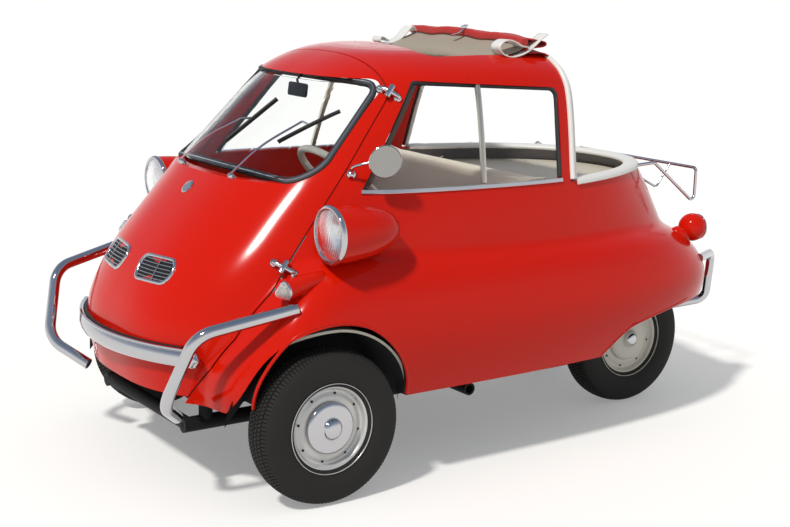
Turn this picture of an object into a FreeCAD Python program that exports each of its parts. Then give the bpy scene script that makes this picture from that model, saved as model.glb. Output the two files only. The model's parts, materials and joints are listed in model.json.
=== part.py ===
import FreeCAD, Part
import math
import os
from FreeCAD import Rotation, Vector

# Bubble car: a two-seater whose whole front is one door. Millimetres, +Z up.
# The nose points to -Y and the car's left side is +X. Stations along Y are
# counted from the front axle, and the whole car is then shifted so that the
# origin lies under the middle of its box.

doc = FreeCAD.newDocument("bubble_car")
sheet = doc.addObject("Spreadsheet::Sheet", "sizes")

SIZES = {
    # stance
    "wheelbase": 1500, "front_half_track": 600, "rear_half_track": 260,
    "tyre_radius": 244, "tyre_width": 124, "axle_to_middle": 697.5,
    # body
    "body_wall": 28, "skin_gap": 0.4, "seam_gap": 6, "belt_level": 905, "body_foot": 298,
    "floor_level": 292, "floor_sheet": 8, "floor_front": -300,
    "seam_foot_y": -90, "seam_low_y": -127, "seam_low_z": 640, "seam_mid_y": 28,
    "seam_mid_z": 838, "seam_top_y": 350, "seam_top_z": 1214, "seam_roof_y": 392,
    "door_sill_z": 322,
    "arch_radius": 283, "arch_y": 4, "arch_z": 286, "arch_inner_x": 425,
    "screen_low_z": 957, "screen_top_z": 1263, "screen_low_half": 448, "screen_top_half": 392,
    "screen_corner": 62, "screen_seal": 17, "glass_sheet": 6, "glass_depth": 9,
    "window_front_low_y": 186, "window_front_top_y": 432, "window_rear_top_y": 1006,
    "window_rear_low_y": 968, "window_low_z": 936, "window_low_rear_z": 916,
    "window_top_z": 1258, "window_top_rear_z": 1214, "window_corner": 34, "window_frame": 14,
    "divider_low_y": 610, "divider_top_y": 690, "divider_width": 20,
    "post_rear_low_y": 1008, "post_rear_top_y": 1046, "roof_open_half": 332, "roof_open_y": 548,
    "roof_bow_width": 42, "roof_corner": 60, "fit_gap": 0.3, "trim_height": 26, "post_trim": 22,
    "trim_bulge": 6,
    "hood_half": 350, "hood_front_y": 850, "hood_rear_y": 1045, "hood_low_z": 1280, "hood_top_z": 1388,
    # wheels
    "rim_radius": 142, "rim_sheet": 5, "cap_radius": 82, "cap_dome": 30, "hub_radius": 44,
    "spindle_radius": 14, "shaft_radius": 16, "bore_gap": 0.3,
    # lamps
    "headlamp_x": 616, "headlamp_y": 20, "headlamp_z": 833, "headlamp_radius": 88,
    "headlamp_length": 232, "headlamp_neck": 34,
    "indicator_x": 583, "indicator_y": -116, "indicator_z": 674, "indicator_radius": 30,
    "indicator_length": 150,
    "tail_lamp_x": 385, "tail_lamp_y": 1700, "tail_lamp_z": 664, "tail_lamp_radius": 52,
    "tail_stem_radius": 22,
    # bars
    "bar_radius": 19, "rear_bar_radius": 16, "bar_bend": 46, "rack_radius": 6, "stay_radius": 4.5,
    "rack_bend": 16,
    "blade_height": 58, "blade_z": 455, "blade_half": 434, "blade_tip_y": -332,
    "blade_nose_y": -472, "blade_corner": 20, "strut_radius": 9, "strut_x": 210,
    # mirror, hinges, wipers, grilles, handle
    "mirror_x": 596, "mirror_y": 208, "mirror_z": 1036, "mirror_radius": 52,
    "hinge_top_y": 344, "hinge_top_z": 1230, "hinge_low_y": -82, "hinge_low_z": 727,
    "hinge_stand": 24, "hinge_radius": 8, "hinge_length": 46,
    "wiper_foot_z": 925, "wiper_tip_z": 1160, "wiper_radius": 4,
    "grille_x": 136, "grille_z": 684, "grille_bars": 5, "grille_pitch": 12, "grille_border": 12,
    "handle_x": -446, "handle_z": 742, "handle_radius": 8,
    # cabin
    "bulkhead_y": 948, "shelf_z": 835, "shelf_sheet": 12, "wheel_house_radius": 300,
    "wheel_house_x": 402,
    "seat_half": 500, "seat_front_y": 400, "seat_depth": 440, "seat_top_z": 610, "seat_thick": 130,
    "back_front_y": 830, "back_top_y": 862, "back_top_z": 930, "base_half": 480,
    "base_front_y": 430, "base_depth": 500, "base_board": 12,
    "steering_x": 205, "steering_y": 318, "steering_z": 905, "steering_radius": 182,
    "steering_grip": 12, "steering_dish": 40, "hub_thick": 30, "column_fall": 46,
    "column_radius": 16, "column_length": 330,
    "dash_left_x": 355, "dash_right_x": 25, "dash_low_z": 760, "dash_high_z": 844, "dash_rear_y": 165,
    # chassis
    "rail_x": 300, "rail_radius": 24, "rail_z": 215, "rail_front_y": -330, "rail_rear_y": 1160,
    "cross_radius": 22, "axle_tube": 26, "perch_x": 70, "perch_y": 1118, "perch_width": 44,
    "jack_y": 660, "jack_reach": 150, "jack_depth": 120, "jack_radius": 15, "jack_wall": 7,
    "engine_x": 245, "engine_y": 962, "engine_width": 300, "engine_depth": 270,
    "engine_height": 330,
    "axle_radius": 34, "axle_case_half": 172, "case_width": 56, "case_height": 90,
    "case_x": -137, "case_front_y": 1235, "spring_length": 400, "spring_thick": 14,
    "king_pin_x": 500, "king_pin_radius": 12, "yoke_reach": 68, "yoke_width": 60, "yoke_sheet": 14,
    "yoke_height": 120, "brake_radius": 80, "barrel_radius": 22,
}
for line, (name, value) in enumerate(SIZES.items(), start=1):
    sheet.set("A%d" % line, name)
    sheet.set("B%d" % line, str(value))
    sheet.setAlias("B%d" % line, name)
doc.recompute()
S = {name: float(sheet.get(name)) for name in SIZES}
SHIFT = Vector(0, -S["axle_to_middle"], 0)
backward, forward = Vector(0, 1, 0), Vector(0, -1, 0)

# Level sections of the cabin, from the sill to the crown. Columns: level, nose
# station, tail station, half width, widest station, nose power, tail power.
CABIN = (
    (282, -408, 1690, 600, 560, 2.8, 2.6),
    (400, -432, 1720, 615, 560, 2.8, 2.6),
    (500, -436, 1735, 618, 560, 2.8, 2.6),
    (600, -402, 1740, 612, 560, 2.75, 2.6),
    (725, -322, 1712, 598, 560, 2.65, 2.4),
    (820, -238, 1672, 584, 555, 2.6, 2.3),
    (912, -149, 1622, 563, 550, 2.65, 2.25),
    (1010, -52, 1560, 534, 560, 2.75, 2.4),
    (1110, 52, 1480, 500, 590, 2.8, 2.7),
    (1200, 146, 1390, 466, 620, 2.85, 3.0),
    (1270, 236, 1300, 424, 640, 2.85, 3.0),
    (1320, 330, 1190, 340, 660, 2.7, 2.8),
    (1345, 425, 1060, 225, 680, 2.5, 2.5),
    (1353, 520, 920, 110, 690, 2.3, 2.3),
)

# Level sections of the flared skirt that carries the wings. Same columns.
SKIRT = (
    (286, -300, 1776, 620, 150, 5.6, 3.6),
    (340, -310, 1806, 642, 150, 6.0, 3.6),
    (424, -298, 1838, 668, 150, 5.8, 3.6),
    (510, -246, 1846, 680, 150, 5.2, 3.6),
    (595, -192, 1806, 672, 150, 4.6, 3.4),
    (660, -138, 1722, 650, 150, 4.2, 3.3),
    (712, -96, 1620, 616, 150, 3.7, 3.1),
    (748, -60, 1530, 572, 150, 3.0, 3.0),
)

# Outline of the door's lower corners seen from the front. Columns: level, half width.
DOOR_FRONT = ((200, 262), (358, 384), (424, 436), (517, 478), (590, 492), (660, 506), (745, 520),
              (800, 640), (1500, 640))

# Centre lines of the bent bars on the left. Columns: half width, station, level.
CORNER_BAR = ((617, -98, 623), (552, -400, 566), (468, -468, 340), (352, -372, 262))
REAR_BAR = ((450, 1700, 556), (352, 1862, 545), (330, 1862, 360), (250, 1690, 330))
RACK_SIDE = ((300, 1500, 896), (340, 1560, 908), (340, 1768, 740), (340, 1772, 873))
RACK_STAY = ((200, 1560, 862), (200, 1706, 786), (200, 1772, 873))

# Body's lower edge behind the sill. Columns: station, level.
TAIL_EDGE = ((1040, 200), (1150, 352), (1230, 405), (1400, 425), (2000, 440), (2000, 200))

# Turns round a level section at which its arcs meet, from the nose to the tail.
TURNS = (-90, -62, -30, 0, 45, 90)
FAR = 900          # past the car's side
HIGH = 300         # past the roof, over the belt
crown = CABIN[-1][0]


def plan_point(row, turn):
    """Point and tangent of a level section, from the nose (-90) by the left side to the tail (90)."""
    level, nose, tail, half, widest, nose_power, tail_power = row
    reach, power = (widest - nose, nose_power) if turn < 0 else (tail - widest, tail_power)
    angle = math.radians(abs(turn))
    u = math.cos(angle) ** (2 / power) if abs(turn) < 90 else 0.0
    v = math.sin(angle) ** (2 / power)
    along = -1 if turn < 0 else 1
    normal_x = u ** (power - 1) / half
    normal_y = along * v ** (power - 1) / reach
    length = math.hypot(normal_x, normal_y)
    return (Vector(half * u, widest + along * reach * v, level),
            Vector(-normal_y / length, normal_x / length, 0))


def tangent_arc(start, direction, end):
    """Arc that leaves start along direction and reaches end."""
    chord = end - start
    along = Vector(chord).normalize()
    lean = direction - along * direction.dot(along)
    if lean.Length < 1e-4:
        return Part.LineSegment(start, end).toShape()
    bend = math.acos(max(-1, min(1, direction.dot(along) / direction.Length)))
    middle = (start + end) * 0.5 + lean.normalize() * (chord.Length / 2 * math.tan(bend / 2))
    return Part.Arc(start, middle, end).toShape()


def two_arcs(start, leave, end, arrive):
    """Pair of arcs that joins two points with the tangents given at both."""
    chord = end - start
    both = leave + arrive
    open_up = 2 * (1 - leave.dot(arrive))
    chord_share = chord.dot(both)
    reach = (math.sqrt(chord_share ** 2 + open_up * chord.dot(chord)) - chord_share) / open_up
    middle = (start + leave * reach + end - arrive * reach) * 0.5
    return [tangent_arc(start, leave, middle), tangent_arc(end, arrive * -1, middle)]


def level_wire(row):
    """Closed level section, tangent arcs from the nose over the left side and back over the right."""
    ends = [plan_point(row, turn) for turn in TURNS]
    for point, tangent in reversed(ends[:-1]):
        ends.append((Vector(-point.x, point.y, point.z), Vector(tangent.x, -tangent.y, 0)))
    edges = []
    for (start, leave), (end, arrive) in zip(ends, ends[1:]):
        edges += two_arcs(start, leave, end, arrive)
    return Part.Wire(edges)


def egg_solid(rows, inset, pinned_below):
    """Loft over level sections, thinner all round by inset and lower at the crown by as much."""
    inner = []
    for level, nose, tail, half, widest, nose_power, tail_power in rows:
        share = max(0.0, (level - pinned_below) / (crown - pinned_below))
        inner.append((level - inset * share, nose + inset * 1.15, tail - inset, half - inset,
                      widest, nose_power, tail_power))
    return Part.makeLoft([level_wire(row) for row in inner], True, False)


def cabin(inset):
    return egg_solid(CABIN, inset, S["belt_level"])


def skirt(inset):
    return egg_solid(SKIRT, inset, SKIRT[-1][0])


nodes = []


def keep(node):
    """Counts an object as a sub-part and stands it in the car's frame."""
    node.Placement = FreeCAD.Placement(SHIFT, Rotation()).multiply(node.Placement)
    nodes.append(node)
    return node


def keep_shape(label, shape):
    """Sub-part whose form comes from code."""
    node = doc.addObject("Part::Feature", label)
    node.Shape = shape
    node.Placement = shape.Placement
    return keep(node)


def bound_box(label, sizes, corner):
    """Block in the car's frame whose sides and corner are formulas over the sheet's cells."""
    block = doc.addObject("Part::Box", label)
    for name, formula in zip(("Length", "Width", "Height"), sizes):
        block.setExpression(name, formula)
    for name, formula, shift in zip("xyz", corner, ("", " - sizes.axle_to_middle", "")):
        block.setExpression("Placement.Base." + name, formula + shift)
    return block


def mirror_x(shape):
    return shape.mirror(Vector(0, 0, 0), Vector(1, 0, 0))


def left_and_right(shape):
    return Part.makeCompound([shape, mirror_x(shape)])


def rounded_prism(points, corner, along):
    """Prism over a closed outline whose corners are arcs of the given radius."""
    marks = []
    for before, here, after in zip(points[-1:] + points[:-1], points, points[1:] + points[:1]):
        back = (before - here).normalize()
        ahead = (after - here).normalize()
        half_turn = back.getAngle(ahead) / 2
        set_back = corner / math.tan(half_turn)
        tip = here + (back + ahead).normalize() * (corner / math.sin(half_turn) - corner)
        marks.append((here + back * set_back, tip, here + ahead * set_back))
    edges = []
    for (start, tip, end), following in zip(marks, marks[1:] + marks[:1]):
        if corner > 0:
            edges.append(Part.Arc(start, tip, end).toShape())
        edges.append(Part.LineSegment(end, following[0]).toShape())
    return Part.Face(Part.Wire(edges)).extrude(along)


def side_prism(points, corner=0.0):
    """Prism right across the car over an outline of (station, level) points."""
    return rounded_prism([Vector(-FAR, y, z) for y, z in points], corner, Vector(2 * FAR, 0, 0))


def block(x, y, z):
    """Box between two limits along each axis."""
    return Part.makeBox(x[1] - x[0], y[1] - y[0], z[1] - z[0], Vector(x[0], y[0], z[0]))


def across(radius, half_length, y, z, x=0.0):
    """Cylinder along X about a station and level."""
    return Part.makeCylinder(radius, 2 * half_length, Vector(x - half_length, y, z), Vector(1, 0, 0))


def tube(points, radius, bend):
    """Round bar along straight runs that are joined by tangent arcs."""
    points = [Vector(*point) for point in points]
    edges = []
    start = points[0]
    for here, after in zip(points[1:-1], points[2:]):
        back = (start - here).normalize()
        ahead = (after - here).normalize()
        half_turn = back.getAngle(ahead) / 2
        set_back = bend / math.tan(half_turn)
        first, last = here + back * set_back, here + ahead * set_back
        tip = here + (back + ahead).normalize() * (bend / math.sin(half_turn) - bend)
        edges += [Part.LineSegment(start, first).toShape(), Part.Arc(first, tip, last).toShape()]
        start = last
    edges.append(Part.LineSegment(start, points[-1]).toShape())
    ring = Part.Wire(Part.makeCircle(radius, points[0], points[1] - points[0]))
    return Part.Wire(edges).makePipeShell([ring], True, False, 2)


def turned(outline, centre, axis):
    """Solid of revolution over (along, radius) points about an axis through centre."""
    wire = Part.makePolygon([Vector(a, r, 0) for a, r in outline + outline[:1]])
    solid = Part.Face(wire).revolve(Vector(0, 0, 0), Vector(1, 0, 0), 360)
    solid.Placement = FreeCAD.Placement(centre, Rotation(Vector(1, 0, 0), axis))
    return solid


def turned_body(label, outline, placement):
    """Body turned from a sketched half section about its own X axis."""
    body = doc.addObject("PartDesign::Body", label)
    plane = [feature for feature in body.Origin.OriginFeatures if feature.Role == "XZ_Plane"][0]
    sketch = body.newObject("Sketcher::SketchObject", label + "_section")
    sketch.AttachmentSupport = [(plane, "")]
    sketch.MapMode = "FlatFace"
    marks = [Vector(along, radius, 0) for along, radius in outline]
    for start, end in zip(marks, marks[1:] + marks[:1]):
        sketch.addGeometry(Part.LineSegment(start, end), False)
    turn = body.newObject("PartDesign::Revolution", label + "_turn")
    turn.Profile = sketch
    turn.ReferenceAxis = (sketch, ["H_Axis"])
    turn.Angle = 360
    body.Placement = placement
    return keep(body)


# Door seam, windscreen and window outlines


def door_space(gap):
    """All the space ahead of the door's seam and between its lower corners, less a gap."""
    top_z = crown + HIGH
    marks = [Vector(-FAR, y - gap, z) for y, z in (
        (S["seam_roof_y"], top_z), (S["seam_top_y"], S["seam_top_z"]),
        (S["seam_mid_y"], S["seam_mid_z"]), (S["seam_low_y"], S["seam_low_z"]),
        (S["seam_foot_y"], 0), (-FAR, 0), (-FAR, top_z))]
    roof, top, middle, low, foot, front_low, front_top = marks
    edges = [Part.LineSegment(roof, top).toShape(), Part.Arc(top, middle, low).toShape(),
             Part.LineSegment(low, foot).toShape(), Part.LineSegment(foot, front_low).toShape(),
             Part.LineSegment(front_low, front_top).toShape(),
             Part.LineSegment(front_top, roof).toShape()]
    slanted = Part.Face(Part.Wire(edges)).extrude(Vector(2 * FAR, 0, 0))
    left = [Vector(half - gap, -FAR, level) for level, half in DOOR_FRONT]
    right = [Vector(-mark.x, mark.y, mark.z) for mark in reversed(left)]
    front = Part.Face(Part.makePolygon(left + right + left[:1])).extrude(Vector(0, 2 * FAR, 0))
    return slanted.common(front)


def windscreen_prism(inset):
    """The windscreen's outline, pushed through the door along Y."""
    low, top = S["screen_low_z"] + inset, S["screen_top_z"] - inset
    half_low, half_top = S["screen_low_half"] - inset, S["screen_top_half"] - inset
    points = [Vector(-half_low, -FAR, low), Vector(half_low, -FAR, low),
              Vector(half_top, -FAR, top), Vector(-half_top, -FAR, top)]
    length = FAR + S["window_front_top_y"]
    return rounded_prism(points, S["screen_corner"] - inset * 0.5, Vector(0, length, 0))


def window_prism(inset):
    """The side windows' outline, pushed through both sides."""
    points = [(S["window_front_low_y"] + inset * 1.6, S["window_low_z"] + inset),
              (S["window_rear_low_y"] - inset, S["window_low_rear_z"] + inset),
              (S["window_rear_top_y"] - inset, S["window_top_rear_z"] - inset),
              (S["window_front_top_y"] + inset * 0.6, S["window_top_z"] - inset)]
    return side_prism(points, S["window_corner"])


def post_edge(level):
    """Station of the rear post's back edge."""
    rise = (level - S["belt_level"]) / (S["window_top_rear_z"] - S["belt_level"])
    return S["post_rear_low_y"] + (S["post_rear_top_y"] - S["post_rear_low_y"]) * min(rise, 1.0)


# Shell and door

outer_cabin = cabin(0)
whole = outer_cabin.fuse(skirt(0))
hollow = cabin(S["body_wall"]).fuse(skirt(S["body_wall"]))
walls = whole.cut(hollow).cut(block((-FAR, FAR), (-FAR, 3 * FAR), (0, S["body_foot"])))
rear_open = side_prism([(S["post_rear_low_y"], S["belt_level"]), (3 * FAR, S["belt_level"]),
                        (3 * FAR, crown + HIGH), (S["post_rear_top_y"], crown + HIGH),
                        (S["post_rear_top_y"], S["window_top_rear_z"])])
hole_x, hole_y, bow_y = S["roof_open_half"], S["roof_open_y"], S["post_rear_top_y"] - S["roof_bow_width"]
roof_hole = rounded_prism([Vector(x, y, S["window_top_rear_z"]) for x, y in (
    (-hole_x, hole_y), (hole_x, hole_y), (hole_x, bow_y), (-hole_x, bow_y))], S["roof_corner"],
    Vector(0, 0, HIGH))
arches = across(S["arch_radius"], FAR, S["arch_y"], S["arch_z"])
arches = arches.cut(block((-S["arch_inner_x"], S["arch_inner_x"]), (-FAR, FAR), (0, FAR)))
shell = walls.cut(door_space(0)).cut(rear_open).cut(roof_hole).cut(window_prism(0))
keep_shape("body_shell", shell.cut(arches).cut(side_prism(list(TAIL_EDGE), 30)))
door = walls.common(door_space(S["seam_gap"])).cut(windscreen_prism(0))
keep_shape("front_door", door.cut(block((-FAR, FAR), (-FAR, FAR), (0, S["door_sill_z"]))))


def skin_layer(outside, inside, window):
    """The part of a layer between two depths under the skin that lies in a window's prism."""
    return cabin(outside).common(window).cut(cabin(inside))


def on_skin(x, level, depth=0.0):
    """Point of the nose's skin at a half width and level."""
    line = Part.LineSegment(Vector(x, -FAR, level), Vector(x, FAR, level)).toShape()
    return Vector(x, outer_cabin.common(line).BoundBox.YMin + depth, level)


def skin_half(station, level):
    """Half width of the skin at a station and level."""
    line = Part.LineSegment(Vector(0, station, level), Vector(FAR, station, level)).toShape()
    return whole.common(line).BoundBox.XMax


# Windscreen and side windows

glass_outside, glass_inside = S["glass_depth"], S["glass_depth"] + S["glass_sheet"]
keep_shape("windscreen_glass", skin_layer(glass_outside, glass_inside,
                                          windscreen_prism(S["screen_seal"] + S["fit_gap"])))
seal_ring = windscreen_prism(S["fit_gap"]).cut(windscreen_prism(S["screen_seal"]))
screen_seal = skin_layer(-3, glass_inside + 5, seal_ring.common(door_space(S["seam_gap"])))
keep_shape("windscreen_seal", screen_seal)
frame_ring = window_prism(S["fit_gap"]).cut(window_prism(S["window_frame"]))
divider = side_prism([(S["divider_low_y"], S["window_low_z"] - 20),
                      (S["divider_low_y"] + S["divider_width"], S["window_low_z"] - 20),
                      (S["divider_top_y"] + S["divider_width"], S["window_top_z"]),
                      (S["divider_top_y"], S["window_top_z"])])
divider = divider.common(window_prism(S["window_frame"]))
keep_shape("window_frames", skin_layer(1, glass_inside + 6, frame_ring.fuse(divider)))
panes = window_prism(S["window_frame"] + S["fit_gap"]).cut(divider)
keep_shape("side_glass", skin_layer(glass_outside, glass_inside, panes))

# White trim round the rear opening and up the rear posts, and the folded roof

gap = S["fit_gap"]
trim_low, trim_top = S["belt_level"] + gap, S["belt_level"] + S["trim_height"]
trim_ring = side_prism([(post_edge(trim_low) + gap, trim_low), (3 * FAR, trim_low),
                        (3 * FAR, trim_top), (post_edge(trim_top) + gap, trim_top)])
post_band = side_prism([(post_edge(level) + reach, level) for reach, level in (
    (gap, trim_top), (S["post_trim"], trim_top), (S["post_trim"], S["window_top_rear_z"]),
    (S["post_trim"], crown + HIGH), (gap, crown + HIGH), (gap, S["window_top_rear_z"]))])
trim = cabin(-S["trim_bulge"]).common(trim_ring.fuse(post_band))
keep_shape("hood_trim", trim.cut(cabin(S["body_wall"] + 8)))
hood_low, hood_top, hood_rear = S["hood_low_z"], S["hood_top_z"], S["hood_rear_y"]
hood_pack = rounded_prism([Vector(-S["hood_half"], y, z) for y, z in (
    (S["hood_front_y"], hood_low), (hood_rear, hood_low), (hood_rear, hood_top),
    (S["hood_front_y"] + 90, hood_top - 6), (S["hood_front_y"], hood_top - 40))], 12,
    Vector(2 * S["hood_half"], 0, 0))
keep_shape("folded_top", hood_pack.cut(cabin(-gap)))

# Lamps


def bulb_outline(radius, length, steps=7):
    """Half section of a bullet, from its front rim to its rounded tip."""
    outline = [(0, 0), (0, radius)]
    for step in range(1, steps):
        angle = math.pi / 2 * step / steps
        outline.append((length * math.sin(angle), radius * math.cos(angle) ** 0.8))
    return outline + [(length, 0)]


lamp_at = Vector(S["headlamp_x"], S["headlamp_y"], S["headlamp_z"])
rim = S["headlamp_radius"]
pod = turned(bulb_outline(rim, S["headlamp_length"]), lamp_at, backward)
neck = across(S["headlamp_neck"], 80, lamp_at.y + S["headlamp_length"] * 0.48, lamp_at.z, lamp_at.x - 70)
keep_shape("headlamp_pods", left_and_right(pod.fuse(neck).cut(outer_cabin)))
ring_outline = [(-14, rim - 10), (-14, rim - 4), (-4, rim + 3), (0, rim + 3), (0, rim - 10)]
keep_shape("headlamp_rings", left_and_right(turned(ring_outline, lamp_at + forward * 0.2, backward)))
lens = rim - 10.5
lens_outline = [(-3, 0), (-3, lens), (-10, lens), (-18, lens * 0.7), (-24, lens * 0.35), (-26, 0)]
keep_shape("headlamp_lenses", left_and_right(turned(lens_outline, lamp_at, backward)))

lamp_at = Vector(S["indicator_x"], S["indicator_y"], S["indicator_z"])
lean = Vector(0, 0.97, 0.22)
rim = S["indicator_radius"]
base = turned(bulb_outline(rim, S["indicator_length"]), lamp_at, lean)
base = base.fuse(Part.makeCylinder(rim * 0.6, 90, lamp_at + Vector(0, 52, 0), Vector(0, 0.4, -0.9)))
keep_shape("indicator_bases", left_and_right(base.cut(whole)))
lens_outline = [(-1, 0), (-1, rim), (-10, rim * 0.95), (-26, rim * 0.7), (-36, rim * 0.3), (-38, 0)]
keep_shape("indicator_lenses", left_and_right(turned(lens_outline, lamp_at, lean).cut(whole)))

lamp_at = Vector(S["tail_lamp_x"], S["tail_lamp_y"], S["tail_lamp_z"])
rim = S["tail_lamp_radius"]
face_at = rim * 0.55
ball = Part.makeSphere(rim, lamp_at).cut(
    block((0, FAR), (lamp_at.y + face_at, 3 * FAR), (0, crown)))
stem = Part.makeCylinder(S["tail_stem_radius"], 90, lamp_at - Vector(0, 0, 110))
tail_ring = Part.makeCylinder(rim * 0.9, 12, lamp_at + backward * (face_at + 0.2), backward)
keep_shape("tail_lamps", left_and_right(ball.fuse(stem).cut(whole)))
keep_shape("tail_lamp_lenses", left_and_right(tail_ring.cut(whole)))

# Corner bars, bumper blade, luggage rack

keep_shape("corner_bars", left_and_right(tube(CORNER_BAR, S["bar_radius"], S["bar_bend"]).cut(whole)))
rear_bar = tube(REAR_BAR, S["rear_bar_radius"], S["bar_bend"])
keep_shape("rear_bars", left_and_right(rear_bar.cut(whole)))

# The blade's section is turned about an upright axis, so that it bows round the nose
depth = S["blade_tip_y"] - S["blade_nose_y"]
bow = (S["blade_half"] ** 2 + depth ** 2) / (2 * depth)
half_height = S["blade_height"] / 2
blade_mark = [(bow - 12, -half_height), (bow - 7, -half_height), (bow + 4, -half_height * 0.5),
              (bow + 7, 0), (bow + 4, half_height * 0.5), (bow - 7, half_height),
              (bow - 12, half_height)]
bow_axis = Vector(0, S["blade_nose_y"] + bow, S["blade_z"])
swing = math.degrees(math.asin(S["blade_half"] / bow))
section = Part.Face(Part.makePolygon([Vector(0, -r, z) for r, z in blade_mark + blade_mark[:1]]))
section.rotate(Vector(0, 0, 0), Vector(0, 0, 1), -swing)
blade = section.revolve(Vector(0, 0, 0), Vector(0, 0, 1), 2 * swing)
blade.translate(bow_axis)
end_x, low_z, high_z = S["blade_half"] + 4, S["blade_z"] - half_height, S["blade_z"] + half_height
rounded_front = rounded_prism([Vector(-end_x, -FAR, low_z), Vector(end_x, -FAR, low_z),
                               Vector(end_x, -FAR, high_z), Vector(-end_x, -FAR, high_z)],
                              S["blade_corner"], Vector(0, FAR, 0))
inside_bow = Part.makeCylinder(bow - 9, S["blade_height"], bow_axis - Vector(0, 0, half_height))
struts = [Part.makeCylinder(S["strut_radius"], HIGH, Vector(x, S["blade_nose_y"] - 30, S["blade_z"]),
                            backward).common(inside_bow) for x in (-S["strut_x"], S["strut_x"])]
keep_shape("bumper_blade", blade.common(rounded_front).fuse(struts).cut(whole))

rack_points = list(RACK_SIDE) + [(-x, y, z) for x, y, z in reversed(RACK_SIDE)]
stay = tube(RACK_STAY, S["stay_radius"], S["rack_bend"])
rack = tube(rack_points, S["rack_radius"], S["rack_bend"]).fuse([stay, mirror_x(stay)])
keep_shape("luggage_rack", rack.cut(whole))

# Mirror, wipers, grilles, handle, hinges

mirror_at = Vector(S["mirror_x"], S["mirror_y"], S["mirror_z"])
foot_y, foot_z = mirror_at.y - 40, mirror_at.z - 50
foot_at = Vector(skin_half(foot_y, foot_z) - 4, foot_y, foot_z)
stalk = tube([foot_at, foot_at + Vector(60, 4, 16), mirror_at], 6, 14)
stalk = stalk.fuse(Part.makeCylinder(15, 14, foot_at - Vector(6, 0, 0), Vector(1, 0, 0)))
dish = S["mirror_radius"]
mirror_head = turned([(-14, 0), (-10, dish * 0.65), (0, dish), (6, dish), (6, 0)], mirror_at, forward)
keep_shape("mirror", stalk.fuse(mirror_head).cut(outer_cabin))

wipers = []
for pivot_x, tip_x in ((190, 60), (-70, -230)):
    foot_at = on_skin(pivot_x, S["wiper_foot_z"], -16)
    tip_at = on_skin(tip_x, S["wiper_tip_z"], -16)
    knob = Part.makeCylinder(11, 24, foot_at + Vector(0, 10, -10), Vector(0, -0.7, 0.7))
    arm = tube([foot_at, foot_at + (tip_at - foot_at) * 0.5 + Vector(0, -8, 6), tip_at],
               S["wiper_radius"], 12)
    wipers.append(knob.fuse(arm).cut(outer_cabin))
keep_shape("wipers", Part.makeCompound(wipers))

grilles = []
border = S["grille_border"]
for side in (-1, 1):
    middle = Vector(side * S["grille_x"], -FAR, S["grille_z"])
    corners = [middle + Vector(side * x, 0, z) for x, z in ((-74, 44), (50, 32), (72, -36), (-52, -42))]
    if side < 0:
        corners.reverse()
    window = rounded_prism(corners, border + 2, Vector(0, FAR, 0))
    hole = rounded_prism([mark + (middle - mark).normalize() * border for mark in corners], border - 4,
                         Vector(0, FAR, 0))
    bars = [block((middle.x - 80, middle.x + 80), (-FAR, 0), (z, z + 4)) for z in (
        middle.z - 26 + S["grille_pitch"] * step for step in range(int(S["grille_bars"])))]
    frame = window.cut(hole).fuse([bar.common(hole) for bar in bars])
    grilles.append(skin_layer(-5, -gap, frame))
keep_shape("grilles", Part.makeCompound(grilles))

handle_at = on_skin(S["handle_x"], S["handle_z"])
handle = tube([handle_at + Vector(0, 4, 0), handle_at + Vector(-14, -34, 0),
               handle_at + Vector(24, -62, -70)], S["handle_radius"], 12)
keep_shape("door_handle", handle.cut(outer_cabin))

hinge_line = [Vector(skin_half(station, level) + S["hinge_stand"], station, level)
              for station, level in ((S["hinge_top_y"], S["hinge_top_z"]),
                                     (S["hinge_low_y"], S["hinge_low_z"]))]
up_hinge = (hinge_line[0] - hinge_line[1]).normalize()
arm_radius = S["hinge_radius"] + 0.5
pins, leaves = [], []
for centre in hinge_line:
    pin_foot = centre - up_hinge * S["hinge_length"] / 2
    pin = Part.makeCylinder(S["hinge_radius"], S["hinge_length"], pin_foot, up_hinge)
    bore = Part.makeCylinder(S["hinge_radius"] + S["bore_gap"], S["hinge_length"], pin_foot, up_hinge)
    body_arm = Part.makeCylinder(arm_radius, 78, centre + up_hinge * 13, Vector(-0.35, 0.94, 0))
    door_arm = Part.makeCylinder(arm_radius, 60, centre - up_hinge * 13, Vector(-1, -0.1, 0))
    barrel = Part.makeCylinder(S["hinge_radius"] + 3, 18, centre - up_hinge * 22, up_hinge)
    pins.append(pin.fuse(body_arm).cut(whole))
    leaves.append(door_arm.fuse(barrel).cut(bore).cut(whole).cut(screen_seal))
keep_shape("hinge_pins", Part.makeCompound(pins))
keep_shape("hinge_leaves", Part.makeCompound(leaves))

# Floor with wheel houses and bulkhead, rear shelf

inside = cabin(S["body_wall"] + S["skin_gap"]).fuse(skirt(S["body_wall"] + S["skin_gap"]))
floor_low, floor_top = S["floor_level"], S["floor_level"] + S["floor_sheet"]
bulkhead_y, sheet_gap = S["bulkhead_y"], 0.2
tub = block((-FAR, FAR), (S["floor_front"], bulkhead_y), (floor_low, floor_top))
house_x = S["wheel_house_x"]
house = across(S["wheel_house_radius"] + S["floor_sheet"], HIGH / 2, 0, S["tyre_radius"],
               house_x + HIGH / 2 - S["floor_sheet"])
well = across(S["wheel_house_radius"], HIGH, 0, S["tyre_radius"], house_x + HIGH)
houses = house.fuse(mirror_x(house)).common(block((-FAR, FAR), (-FAR, FAR), (floor_low, FAR)))
bulkhead = block((-FAR, FAR), (bulkhead_y, bulkhead_y + S["floor_sheet"]), (floor_low, S["shelf_z"]))
tub = tub.fuse([houses, bulkhead]).cut(well.fuse(mirror_x(well)))
keep_shape("floor_pan", tub.common(inside))
shelf_z = S["shelf_z"] + sheet_gap
shelf = block((-FAR, FAR), (bulkhead_y, 2 * FAR), (shelf_z, shelf_z + S["shelf_sheet"]))
keep_shape("rear_shelf", shelf.common(inside))

# Seat

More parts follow.
